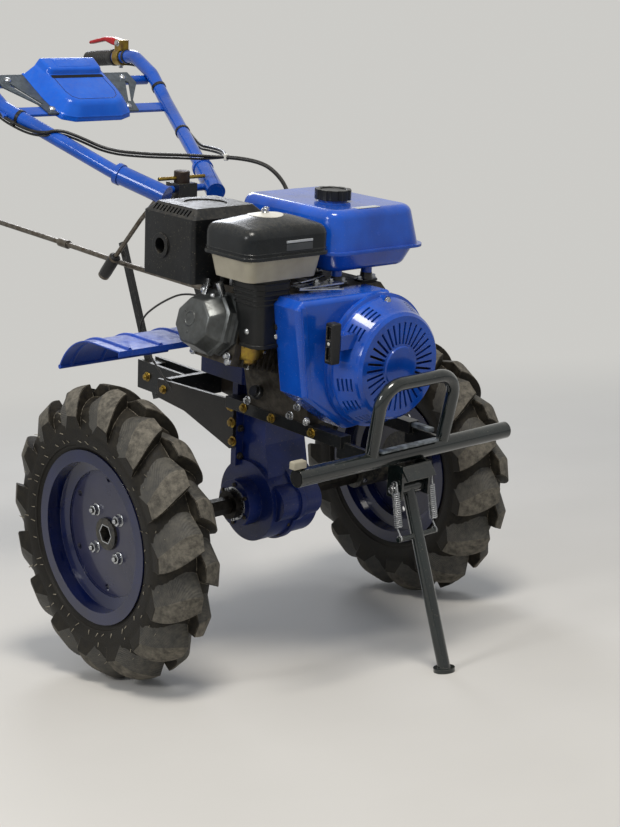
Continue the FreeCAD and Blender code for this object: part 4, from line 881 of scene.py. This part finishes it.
set_piece("carburettor_body", throat, die_cast, "chassis", "bowl_zinc")
bolt_piece("bowl_drain_screws", [((BOWL_X, BOWL_Y, 346), (0, 0, -1), 10.0, 6.0, 7.5),
                                 ((-186, -182, 376), (0, -1, -0.3), 7.0, 4.0, 5.0)], zinc_bright)

linkage = bmesh.new()
round_bar(linkage, (-150, -236, 500), (-60, -262, 497), 1.6, 10)
round_bar(linkage, (-146, -214, 508), (-44, -188, 508), 1.6, 10)
round_bar(linkage, (-90, -216, 492), (-90, -216, 512), 3.0, 12)
bolt(linkage, (-90, -216, 504), (0, 0, 1), 10.0, 5.0, 8.0)
bolt(linkage, (-52, -216, 504), (0, 0, 1), 8.0, 4.0, 6.0)
bar(linkage, facing((-124, -224, 514), (0, 0, 1), 14), (44, 13, 3), 1.0)
set_piece("throttle_linkage", linkage, zinc_bright)

# %% Governor spring
COIL_STEPS = 14


def coil(bm, start, end, radius, wire, turns):
    """A helical spring: a small ring spun round the spring's axis while it climbs."""
    a, b = Vector(start), Vector(end)
    made = bmesh.new()
    bmesh.ops.create_circle(made, cap_ends=True, segments=6, radius=wire,
                            matrix=Matrix.Translation((radius, 0, 0)) @ Matrix.Rotation(math.pi / 2, 4, "X"))
    climb = (b - a).length / (turns * COIL_STEPS)
    bmesh.ops.spin(made, geom=list(made.verts) + list(made.edges) + list(made.faces), cent=(0, 0, 0),
                   axis=(0, 0, 1), dvec=(0, 0, climb), angle=2 * math.pi * turns,
                   steps=turns * COIL_STEPS)
    add_copy(bm, made, facing(a, b - a))
    made.free()


governor = bmesh.new()
coil(governor, (-128, -222, 500), (-96, -214, 500), 3.2, 0.7, 12)
set_piece("governor_spring", governor, zinc_bright, sharp=50.0)

# %% [markdown]
# ## Starter cover details
# Behind the cover's slots it is dark, so a black screen lies just in front of each slot's floor. A screw
# sits in the boss on top, flange screws hold the cover, and the pull's rope ends in a pale knot.

# %% Screens, screws and knot
CRANK = (0.0, 0.0, 360.0)

screen = bmesh.new()
profile_spin(screen, [(43.0, -356.4, 360.0), (87.0, -356.4, 360.0)], 96, (0, 1, 0), CRANK)
profile_spin(screen, [(103.2, -345.5, 360.0), (103.2, -315.5, 360.0)], 96, (0, 1, 0), CRANK)
set_piece("starter_screen", screen, painted_shade_black, "chassis", "duct_black")

bolt_piece("cover_screws", [((0, -320, 480), (0, -1, 0), 9.0, 4.0, 7.0)]
           + [((x, -296, z), (0, -1, 0), 9.0, 4.5, 8.0) for x, z in ((-172, 262), (8, 482))], zinc_bright)

knot = bmesh.new()
turned(knot, facing((-154, -331, 417), (-1, 0, 0)),
       [(0, -2), (4.5, -2), (5, 0), (4.2, 2.5), (2, 4), (0, 4)], 16)
set_piece("pull_knot", knot, clip_white, "chassis", "filter_band")

# %% [markdown]
# ## Tank feet, head and crankcase fasteners
# The tank stands on small flanged feet. The rocker cover, the head and the crankcase are bolted round their
# edges, and a dipstick closes the oil filler. They are set by loops on the faces they clamp.

# %% Tank feet
feet = bmesh.new()
foot_bolts = bmesh.new()
for x, y in ((-24, -200), (56, -200), (10, -90)):
    slab(feet, (x - 24, y - 14, 492), (x + 24, y + 14, 496), 10.0, 1.2)
    turned(feet, Matrix.Translation((x, y, 495)), [(0, 0), (15, 0), (12.5, 6), (11.6, 14), (0, 14)], 28)
    for side in BOTH:
        bolt(foot_bolts, (x + side * 18, y, 496), (0, 0, 1), 10.0, 5.5, 7.5)
set_piece("tank_feet", feet, frame_black, "chassis", "frame_black")
set_piece("tank_foot_bolts", foot_bolts, zinc_bright)

tank_label = bmesh.new()
slab(tank_label, (4, -222, 639.2), (64, -206, 640.5), 2.0, 0.4)
set_piece("tank_blank_plate", tank_label, label_silver)

# %% Head, rocker cover and crankcase
HEAD_TILT = math.radians(15.0)
HEAD_AXES = Matrix.Translation(CRANK) @ Matrix.Rotation(HEAD_TILT, 4, "Y")


def head_place(reach, y, rise):
    """A place on the cylinder: reach along it from the crankshaft, outward to the machine's right."""
    return HEAD_AXES @ Vector((-reach, y, rise))


# each section of the rocker cover: reach, middle (y, rise), half sizes (y, rise), corner cut
COVER_SECTIONS = [(248, (-112, 0), (60, 60), 30), (254, (-112, 0), (60, 60), 30),
                  (255, (-110, -2), (54, 56), 28), (263, (-108, -2), (53, 56), 28),
                  (264, (-106, -3), (58, 61), 32), (271, (-105, -3), (58, 61), 32),
                  (274, (-105, -4), (53, 57), 30), (304, (-99, -8), (47, 42), 27)]
COVER_FACE = COVER_SECTIONS[-1][0]


def cover_ring(section):
    """The eight corners of one section of the rocker cover."""
    reach, (y, rise), (wide, tall), cut = section
    sides = [(wide, tall - cut), (wide - cut, tall), (cut - wide, tall), (-wide, tall - cut),
             (-wide, cut - tall), (cut - wide, -tall), (wide - cut, -tall), (wide, cut - tall)]
    return [head_place(reach, y + a, rise + b) for a, b in sides]


cover = bmesh.new()
ring = [cover.verts.new(corner) for corner in cover_ring(COVER_SECTIONS[0])]
face = cover.faces.new(ring)
for section in COVER_SECTIONS[1:]:
    face = bmesh.ops.extrude_discrete_faces(cover, faces=[face])["faces"][0]
    for v, corner in zip(face.verts, cover_ring(section)):
        v.co = corner
cover.faces.new(list(reversed(ring)))
bmesh.ops.remove_doubles(cover, verts=cover.verts, dist=0.01)
bmesh.ops.recalc_face_normals(cover, faces=cover.faces)
cover.normal_update()
outer = [e for e in cover.edges
         if min((HEAD_AXES.inverted() @ v.co).x for v in e.verts) < 1.0 - COVER_FACE]
round_edges(cover, outer, 4.0, 4, clamp=True)
outward = HEAD_AXES.to_3x3() @ Vector((-1, 0, 0))
turned(cover, facing(head_place(COVER_FACE, -92, -4), outward),
       [(0, -2), (15, -2), (15, 0.6), (14, 1.4), (12.4, 1.4), (11.4, 0.3), (0, 0.3)], 36)
for y, rise in ((-74, 8), (-92, -30)):
    turned(cover, facing(head_place(COVER_FACE, y, rise), outward),
           [(0, -1), (2.4, -1), (2.4, 1), (0, 1)], 12)
set_piece("rocker_cover_pressing", cover, rocker_grey, "chassis", "rocker_grey", ("rocker_cover",), 28.0)

COVER_BOLT, HEAD_BOLT = (10.0, 5.5, 8.0), (13.0, 7.0, 0.0)
bolt_piece("head_bolts", [(head_place(reach, y, rise), outward, *sizes)
                          for reach, front, half, sizes in ((254, -164, 56, COVER_BOLT),
                                                            (248, -166, 66, HEAD_BOLT))
                          for y in (front, -60) for rise in (-half, half)], zinc_bright)

elbow = bmesh.new()
round_bar(elbow, head_place(214, -84, 60), head_place(222, -84, 112), 15, 28)
turned(elbow, facing(head_place(222, -84, 108), HEAD_AXES.to_3x3() @ Vector((0, 0, 1))),
       [(0, 0), (30, 0), (30, 6), (0, 6)], 24)
bar(elbow, facing((-262, -92, 478), (-1, 0, 0.4), 8), (12, 62, 4), 1.5, 2)
bar(elbow, facing((-252, -132, 492), (-0.4, 0, 1), 4), (10, 12, 34), 2.0, 2)
round_head(elbow, (-262, -118, 480), (-1, 0, 0.3), 6.0, 4.0)
round_head(elbow, (-258, -84, 486), (-1, 0, 0.3), 7.0, 4.5)
set_piece("muffler_elbow_and_bracket", elbow, zinc_bright)

CASE_SIDE = 118
case_bolts = [((sign * CASE_SIDE, -210, z), (sign, 0, 0), 11.0, 5.5, 8.5)
              for z in (262, 310, 410, 454) for sign in BOTH]
case_bolts += [((sign * CASE_SIDE, y, 240), (sign, 0, 0), 12.0, 6.0, 9.0)
               for sign in BOTH for y in (-190, -60)]
case_bolts += [((x, -2.0, CRANK[2] + z), (0, 1, 0), 10.0, 5.0, 0.0) for _, x, z in around(8, 101.0, 22.5)]
bolt_piece("crankcase_bolts", case_bolts, zinc_bright)

filler = bmesh.new()
for sign in BOTH:
    turned(filler, facing((sign * CASE_SIDE, -92, 262), (sign, 0, 0.5)),
           [(0, 0), (14, 0), (14, 9), (11, 10), (11, 17), (0, 17)], 24)
set_piece("oil_fillers", filler, cap_black, "chassis", "cap_black")

# %% [markdown]
# ## Bumper, stand and gear case
# The bumper bar is a tube; a thin near-black disc at each end is painted shade standing for its hollow. Two
# tension springs pull the stand past its pivot: each is a helix spun from a small ring, with a straight wire
# and a hook at both ends. The gear case is two castings bolted round a seam, with zinc-plated bearing rings
# where the hubs come out.

# %% Bumper and chipped plates
# Near-black discs at the tube's ends: painted shade for its hollow.
hollows = bmesh.new()
for side, sign in SIDES:
    turned(hollows, facing((sign * 279.0, -395, 197), (sign, 0, 0)),
           [(0, 0), (14.2, 0), (14.2, 0.4), (0, 0.4)], 32)
set_piece("bumper_end_painted_shade", hollows, painted_shade_black, "chassis", "bumper_black")

chipped = bmesh.new()
slab(chipped, (-82, -413, 213), (70, -397, 217), 2.0, 1.2)
bar(chipped, Matrix.Translation((92, -316, 221)), (15, 110, 9), 2.0, 2)
set_piece("chipped_frame_plates", chipped, chipped_paint, "chassis", "bumper_black")

tag = bmesh.new()
slab(tag, (-291, -402, 216), (-262, -388, 231), 0.0, 4.0)
set_piece("bumper_end_tag", tag, band_cream, "chassis", "filter_band")

# %% [markdown]
# The springs hang on pins beside the bracket and pull on the leg below its pivot. Each is made hanging, and
# rides with the leg, because a rigid piece can't stretch between two bodies.

# %% Stand springs and bracket pins
springs = bmesh.new()
for side, sign in SIDES:
    top, foot = Vector((sign * 47, -416, 148)), Vector((sign * 47, -437.7, 46))
    start, end = top.lerp(foot, 0.16), top.lerp(foot, 0.8)
    coil(springs, start, end, 6.5, 1.6, 17)
    for a, b, lean in ((top, start, 5.5), (foot, end, -5.5)):
        near = Vector((a.x, a.y - 4.5, a.z))
        round_bar(springs, near, Vector((b.x, b.y - lean, b.z)), 1.5, 8)
        turned(springs, facing(a, (1, 0, 0)),
               [(4.5, -1.5), (6.6, -0.8), (6.6, 0.8), (4.5, 1.5), (4.5, -1.5)], 20)
set_piece("stand_coil_springs", springs, zinc_bright, "stand", "spring_zinc", ("stand_springs",), 50.0)

pins = bmesh.new()
for sign in BOTH:
    bolt(pins, (sign * 38.5, -404, 132), (sign, 0, 0), 13.0, 6.0, 10.0)
    round_bar(pins, (sign * 36, -416, 150), (sign * 53.5, -416, 150), 3.6, 14)
set_piece("stand_bracket_bolts", pins, zinc_bright)

# %% [markdown]
# Everything that carries load is bolted through with a broad washer. One list gives the bolts of one side,
# and the other side is the same with its sign changed.

# %% Gusset, rail and hitch bolts
# on each side: how far out, how far back and how high, then the bolt's sizes
GUSSET_BOLT, RAIL_BOLT = (13.0, 7.0, 11.0), (12.0, 6.0, 10.0)
FRAME_BOLTS = [((80, y, z), GUSSET_BOLT) for y, z in ((38, 198), (34, 164), (29, 125))]
FRAME_BOLTS += [((105, y, 215), RAIL_BOLT) for y in (-119, -239, -32)]
FRAME_BOLTS += [((28, y, 172), GUSSET_BOLT + (0.0, 3.0)) for y in (284, 400)]
FRAME_BOLTS += [((80, 270, 180), RAIL_BOLT)]
bolt_piece("frame_bolts", [((sign * x, y, z), (sign, 0, 0), *sizes) for sign in BOTH
                           for (x, y, z), sizes in FRAME_BOLTS], zinc_yellow, "chassis", "perch_zinc")

# %% [markdown]
# The two halves of the case meet in a seam with bolts all round. The rings and the collars' pins are turned.

# %% Gear case seam, bearing rings and collars
seam = bmesh.new()
for angle, y, z in around(9, 83.0, 150.0, 270.0):
    bolt(seam, (6.0, y, z), (1, 0, 0), 10.0, 5.5, 0.0, tail=1.0)
    bolt(seam, (-6.0, y, z), (-1, 0, 0), 10.0, 5.5, 0.0)
for sign in BOTH:
    for angle, y, z in around(6, 41.0, 30.0):
        bolt(seam, (sign * 95.0, y, z), (sign, 0, 0), 8.0, 4.5, 0.0)
for z in (90, 150, 210, 250):
    for sign in BOTH:
        bolt(seam, (sign * 62, 28, z), (0, -1, 0), 10.0, 5.0, 8.0)
set_piece("gear_case_bolts", seam, die_cast, "chassis", "engine_casting")

rings = bmesh.new()
for sign in BOTH:
    turned(rings, facing((sign * 94.0, 0, 0), (sign, 0, 0)),
           [(26.5, 0), (35, 0), (35, 2.6), (34, 3.2), (27.5, 3.2), (26.5, 2.6), (26.5, 0)], 48)
set_piece("bearing_rings", rings, zinc_bright)

collar_pins = bmesh.new()
for sign in BOTH:
    for direction in ((0, 0.4, 1), (0, -0.4, -1)):
        turned(collar_pins, facing((sign * 105.5, 0, 0), direction),
               [(0, 26), (4.2, 26), (4.2, 34), (3.2, 35), (0, 35)], 14)
    for direction in ((0, 1, 0.2), (0, -1, -0.2)):
        turned(collar_pins, facing((sign * 250.0, 0, 0), direction),
               [(0, 26), (5.0, 26), (5.0, 33), (0, 33)], 14)
set_piece("hub_collar_pins", collar_pins, zinc_bright, "wheels", "spring_zinc")

# %% [markdown]
# ## Handlebar fittings
# The grips are soft rubber with shallow ribs and a collar at the inner end: a profile with one step for each
# rib, spun round the tube. The levers are dipped in red vinyl, so their outline is extruded and its edges
# rounded. Round-headed bolts hold the console's wings; a zinc rod and a browned block lock the tilt.

# %% Places on the tube and console
TUBE_END, TUBE_BEND = Vector((254, 1046, 816)), Vector((246, 846, 838))
CONSOLE = Matrix.Translation((0, 671, 738)) @ Matrix.Rotation(math.radians(28.4), 4, "X")


def on_tube(sign, back):
    """A place on a handle tube's last straight, that far in front of its end."""
    place = TUBE_END + (TUBE_BEND - TUBE_END).normalized() * back
    return Vector((sign * place.x, place.y, place.z))


# %% Grips
GRIP_RIBS = 11

for side, sign in SIDES:
    grip = bmesh.new()
    profile = [(0, -4), (17.0, -4), (19.0, -2), (19.0, 4)]
    for k in range(GRIP_RIBS):
        z = 9 + 8.6 * k
        profile += [(17.6, z), (17.6, z + 2.2), (19.0, z + 3.4), (19.0, z + 6.6)]
    profile += [(19.0, 108), (20.5, 110), (20.5, 118), (19.5, 120), (15.8, 120)]
    turned(grip, facing(on_tube(sign, 0), on_tube(sign, 10) - on_tube(sign, 0)), profile + [(0, 120)], 40)
    set_piece("ribbed_grip_" + side, grip, grip_rubber, "handlebar", "grip_rubber", ("grip_" + side,), 30.0)

# %% Levers and their pivots
# the lever's outline from its pin: how far behind it, and how high above it
LEVER_OUTLINE = [(-8, -4), (-6, 6), (6, 9), (26, 12), (60, 11), (94, 4), (124, -3), (128, -8), (124, -11),
                 (94, -5), (60, 1), (30, -6), (4, -9)]
LEVER_WIDTH = 18
PIN_BACK, PIN_RISE = 142, 33.5

for side, sign in SIDES:
    pin = on_tube(sign, PIN_BACK) + Vector((0, 0, PIN_RISE))
    lever = bmesh.new()
    blade = lever.faces.new([lever.verts.new((-LEVER_WIDTH / 2, y, z)) for y, z in LEVER_OUTLINE])
    grown = bmesh.ops.extrude_face_region(lever, geom=[blade])["geom"]
    bmesh.ops.translate(lever, vec=(LEVER_WIDTH, 0, 0),
                        verts=[v for v in grown if isinstance(v, bmesh.types.BMVert)])
    bmesh.ops.recalc_face_normals(lever, faces=lever.faces)
    rim = [e for e in lever.edges if abs(e.verts[0].co.x - e.verts[1].co.x) < 0.1]
    round_edges(lever, rim, 3.2, 3)
    bmesh.ops.translate(lever, vec=pin, verts=lever.verts)
    set_piece("vinyl_lever_" + side, lever, lever_red, "handlebar", "lever_red", ("control_lever_" + side,),
              40.0)
    pivots = bmesh.new()
    for out in BOTH:
        bolt(pivots, pin + Vector((out * 10.8, 0, 0)), (out, 0, 0), 10.0, 5.0, 8.0)
    bolt(pivots, on_tube(sign, PIN_BACK) + Vector((0, 0, -20)), (0, 0, -1), 9.0, 5.0, 7.0)
    set_piece("lever_pivots_" + side, pivots, zinc_bright, "handlebar", "spring_zinc")

# %% [markdown]
# ## Console
# The console is one deep moulding: a low lid with soft edges, and behind a step a raised crown with the bare
# place of a label; a near-black strip in the step is painted shade. Each block is a face of eight corners
# that is extruded to its top, and all its upper edges are bevelled widely. A moulded line runs round the lid
# like a
# U, drawn in a darker blue as painted shade in its crease.

# %% Console blocks


def both_sides(plan, z):
    return [(x, y, z) for x, y in plan] + [(-x, y, z) for x, y in reversed(plan)]


def moulding(bm, plan, top_plan, low, high, radius):
    """A block between two outlines given for one side, with its upper edges rounded."""
    ring = [bm.verts.new(place) for place in both_sides(plan, low)]
    face = bmesh.ops.extrude_discrete_faces(bm, faces=[bm.faces.new(ring)])["faces"][0]
    for v, place in zip(face.verts, both_sides(top_plan, high)):
        v.co = place
    under = bm.faces.new(list(reversed(ring)))
    edges = [e for e in bm.edges if under not in e.link_faces and any(v in face.verts for v in e.verts)]
    round_edges(bm, edges, radius, 6, clamp=True)


# each block: outline below, outline above, from and to which height, rounding
CONSOLE_BLOCKS = [
    ([(62, -38), (92, -26), (103, 0), (107, 40), (107, 140)],
     [(50, -20), (68, -12), (76, 2), (79, 40), (80, 138)], 4, 34, 13),
    ([(62, -40), (94, -28), (106, -2), (110, 40), (110, 141)],
     [(60, -37), (91, -26), (102, -1), (106, 40), (106, 140)], -6, 6, 2),
    ([(60, 84), (72, 84), (82, 92), (84, 140)], [(50, 92), (62, 93), (70, 98), (74, 139)], 20, 47, 7),
]
console = bmesh.new()
for plan, top_plan, low, high, radius in CONSOLE_BLOCKS:
    block = bmesh.new()
    moulding(block, plan, top_plan, low, high, radius)
    add_copy(console, block, CONSOLE)
    block.free()
set_piece("console_moulding", console, console_blue, "handlebar", "console_blue", ("console_cover",), 40.0)

strap = bmesh.new()
slab(strap, (-236, -14.5, -6.5), (236, 14.5, 0.4), 0.0, 1.0, 1.0, matrix=CONSOLE)
set_piece("console_strap", strap, tube_blue, "handlebar", "handle_blue")

# The U line is drawn in the darker cast-iron blue: painted shade in the moulded crease.
line = bmesh.new()
U_LINE = [(66, 78), (66, 20), (60, 2), (46, -9), (-46, -9), (-60, 2), (-66, 20), (-66, 78)]
for start, end in zip(U_LINE[:-1], U_LINE[1:]):
    round_bar(line, CONSOLE @ Vector((*start, 33.9)), CONSOLE @ Vector((*end, 33.9)), 0.8, 8)
set_piece("console_moulded_line", line, case_blue, "handlebar", "console_blue")
# The near-black strip in the step is painted shade.
for name, low, high, corner, edge, finish in (
        ("console_step_painted_shade", (-70, 74, 30), (70, 86, 34.6), 3.0, 0.6, painted_shade_black),
        ("console_blank_plate", (-46, 100, 46.4), (46, 130, 47.6), 4.0, 0.5, console_blue)):
    flat = bmesh.new()
    slab(flat, low, high, corner, edge, matrix=CONSOLE)
    set_piece(name, flat, finish, "handlebar", "console_blue")

# %% Console bolts, clips and knobs
console_bolts = bmesh.new()
up = CONSOLE.to_3x3() @ Vector((0, 0, 1))
for sign in BOTH:
    for x, y in ((104, 0), (157, 115)):
        round_head(console_bolts, CONSOLE @ Vector((sign * x, y, 4)), up, 8.5, 5.0)
set_piece("console_bolts", console_bolts, zinc_bright, "handlebar", "spring_zinc")

locks = bmesh.new()
round_bar(locks, (-62, 326, 627), (62, 326, 627), 4.2, 16)
for sign in BOTH:
    bolt(locks, (sign * 80, 326, 603), (sign, 0, 0), 14.0, 7.0, 11.5)
set_piece("tilt_lock_rod", locks, zinc_yellow, "chassis", "perch_zinc")
block = bmesh.new()
turned(block, Matrix.Translation((0, 326, 0)),
       [(0, 610), (15.6, 610), (17.2, 613), (17.2, 640), (15.6, 642), (0, 642)], 32)
set_piece("tilt_lock_block", block, lock_brown, "chassis", "rod_steel")

for name, body, place, direction, profile in (
        ("shift_rod_grip", "chassis", (-36, 1070, 430), (0, -26, 70),
         [(0, -6), (9, -6), (12.5, -1), (13.6, 8), (13.6, 62), (12.6, 70), (8, 75), (0, 76)]),
        ("clamp_lever_grip", "handlebar", (-68, 473, 435), (0, 43, -49),
         [(0, -4), (8, -4), (12, 0), (13.6, 8), (13.6, 54), (12.6, 62), (8, 66.5), (0, 67)])):
    knob = bmesh.new()
    turned(knob, facing(place, direction), profile, 32)
    set_piece(name, knob, grip_rubber, body, "grip_rubber")

# %% [markdown]
# ## Control cables
# Steel cables in PVC sheaths come up from the gear case behind the tank, part at a white clip, and run to
# the levers, tied under the handle tubes. Each is a NURBS curve that a few places pull into its course, with
# a round bevel, so it bends like a stiff cable. Those over the handlebar's hinge are made a mesh and set in
# the scene on no moving body.

# %% Helper for a cable


def cable(name, route, radius, body, instead_of=(), over_hinge=()):
    """A sheathed cable along a route in mm; when over_hinge is given, the cable is made a mesh on no body,
    and its two places are not used.
    """
    curve = bpy.data.curves.new(name, "CURVE")
    curve.dimensions = "3D"
    curve.bevel_depth = radius * MM
    curve.bevel_resolution = 4
    curve.resolution_u = 12
    curve.use_fill_caps = True
    line = curve.splines.new("NURBS")
    line.points.add(len(route) - 1)
    for point, place in zip(line.points, route):
        point.co = (*(LEVEL @ Vector(place)), 1.0)
    line.order_u = 3
    line.use_endpoint_u = True
    piece = bpy.data.objects.new(name, curve)
    if over_hinge:
        mesh = bpy.data.meshes.new_from_object(piece)
        bpy.data.objects.remove(piece)
        piece = bpy.data.objects.new(name, mesh)
    piece.data.materials.clear()
    piece.data.materials.append(cable_black)
    bpy.context.scene.collection.objects.link(piece)
    if instead_of:
        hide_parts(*instead_of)
    if over_hinge:
        start, end = (LEVEL @ Vector(place) for place in over_hinge)
        tuple(start)
        tuple(end)
        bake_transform(piece)
    else:
        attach(piece, body)
    print(name, "over", len(route), "places")


# %% Cables by the tubes
CLIP = (82, 279, 672)
# the tube's corners, as the cable passes them: beside the tube and a little under it
BESIDE = Vector((17.8, 0, -10.0))
TUBE_CORNERS = [(222, 684, 746), (238, 762, 803), (246, 846, 838), (250, 946, 827), (252.4, 1006, 820.4)]
FREE_RUN = {
    "right": [CLIP, (52, 312, 672), (20, 344, 672), (-36, 409, 669), (-90, 473, 672), (-140, 516, 700),
              (-172, 541, 712), (-199, 559, 703), (-213, 614, 707)],
    "left": [CLIP, (115, 320, 665), (158, 381, 669), (176, 446, 668), (184, 512, 666)],
}


def beside(sign, place):
    return (sign * (place[0] + BESIDE.x), place[1], place[2] + BESIDE.z)


for side, sign in SIDES:
    route = FREE_RUN[side] + [beside(sign, corner) for corner in TUBE_CORNERS[:4]]
    hinge_end = (-60, 440, 670) if side == "right" else (150, 370, 668)
    cable("control_cable_" + side, route, 3.5, "handlebar", ("loom_" + side,), (CLIP, hinge_end))
    second = [Vector(CLIP)] + [Vector(place) + Vector((0, 3, -7.2)) for place in route[1:]]
    cable("second_cable_" + side, second, 2.6, "handlebar", (), (CLIP, hinge_end))

cable("engine_cable_sheath",
      [(68, 92, 426), (70, 92, 500), (104, 84, 600), (131, 150, 643), (118, 214, 674), CLIP],
      4.5, "chassis", ("engine_cable",))
cable("gear_cable_sheath",
      [(-75, 118, 404), (-108, 150, 424), (-108, 250, 380), (-100, 338, 322), (-98, 318, 262),
       (-77, 232, 176)],
      2.2, "chassis", ("gear_cable",))

# %% Clip and ties
clip = bmesh.new()
slab(clip, (CLIP[0] - 5, CLIP[1] - 4, CLIP[2] - 7), (CLIP[0] + 5, CLIP[1] + 4, CLIP[2] + 7), 2.0, 1.5, 1.5)
set_piece("cable_clip", clip, clip_white, "chassis", "filter_band")

ties = bmesh.new()
CORNERS = [Vector((120, 415, 637))] + [Vector(corner) for corner in TUBE_CORNERS[:3]] + [TUBE_END]
for side, sign in SIDES:
    for run, part in ((0, 0.84 if side == "right" else 0.5), (1, 0.5), (3, 0.16)):
        here = CORNERS[run].lerp(CORNERS[run + 1], part)
        along = CORNERS[run + 1] - CORNERS[run]
        here, along = Vector((sign * here.x, here.y, here.z)), Vector((sign * along.x, along.y, along.z))
        for centre, radius in ((here, 15.6), (here + Vector((sign * BESIDE.x, 0, BESIDE.z - 2)), 4.0)):
            outer = radius + 1.6
            turned(ties, facing(centre, along),
                   [(radius, -4), (outer, -4), (outer, 4), (radius, 4), (radius, -4)], 28)
set_piece("cable_ties", ties, cable_black, "handlebar", "cable_black")

# %% [markdown]
# ## Floor, backdrop and light
# A plain pale floor keeps the shadow. Soft panels stand in for the open sky: a large one above and in front
# models the forms, a smaller one from the side gives the enamel its highlights. The backdrop is pale by its
# own colour, not by more light.

# %% Stage
BACKDROP = {"Color": linear("#d6d5d1"), "Strength": 0.9}
floor_mesh = bmesh.new()
bmesh.ops.create_grid(floor_mesh, x_segments=1, y_segments=1, size=12.0)
floor_data = bpy.data.meshes.new("floor")
floor_mesh.to_mesh(floor_data)
floor_mesh.free()
floor = bpy.data.objects.new("floor", floor_data)
bpy.context.scene.collection.objects.link(floor)
material, tree, place = start_finish("floor_matt_paint")
tint = mix(tree, noise_between(tree, place, 400, 0.0, 1.0, 1.0, 3.0), "#c9c6c0", "#d1cec8")
matt = add_node(tree, "BsdfPrincipled", {"Base Color": tint, "Roughness": 0.9})
glow = add_node(tree, "Emission", BACKDROP)
from_middle = add_node(tree, "VectorMath", {0: place}, operation="LENGTH", out="Value")
far = stretch(tree, from_middle, 1.3, 4.5, interpolation_type="SMOOTHSTEP")
seen = add_node(tree, "LightPath", out="Is Camera Ray")
surface = add_node(tree, "MixShader", {0: product(tree, far, seen), 1: matt, 2: glow})
add_node(tree, "OutputMaterial", {"Surface": surface})
floor_data.materials.append(material)

world = bpy.data.worlds.new("studio")
world.use_nodes = True
tree = world.node_tree
tree.nodes.clear()
seen = add_node(tree, "LightPath", out="Is Camera Ray")
mirrored = add_node(tree, "LightPath", out="Is Glossy Ray")
direct = math_of(tree, "MAXIMUM", seen, mirrored)
fill = add_node(tree, "Background", {"Color": linear("#e4ebf5"), "Strength": 0.45})
pale = add_node(tree, "Background", BACKDROP)
both = add_node(tree, "MixShader", {0: direct, 1: fill, 2: pale})
add_node(tree, "OutputWorld", {"Surface": both})
bpy.context.scene.world = world
bpy.context.scene.view_settings.view_transform = "Standard"


def soft_panel(name, place, aim, size, power, colour="#ffffff"):
    """A square lamp that faces its aim."""
    lamp = bpy.data.lights.new(name, "AREA")
    lamp.shape = "SQUARE"
    lamp.size = size
    lamp.energy = power
    lamp.color = linear(colour)[:3]
    holder = bpy.data.objects.new(name, lamp)
    holder.location = place
    holder.rotation_euler = (Vector(aim) - Vector(place)).to_track_quat("-Z", "Y").to_euler()
    bpy.context.scene.collection.objects.link(holder)


soft_panel("key_panel", (-0.8, -1.6, 3.8), (0.0, 0.0, 0.5), 1.1, 98.0, "#fffaf2")
soft_panel("side_panel", (-3.2, -0.4, 2.2), (0.0, 0.0, 0.5), 0.9, 34.0)
soft_panel("rear_panel", (1.8, 2.8, 2.8), (0.0, 0.0, 0.5), 1.2, 46.0, "#f2f6ff")
print("stage ready")
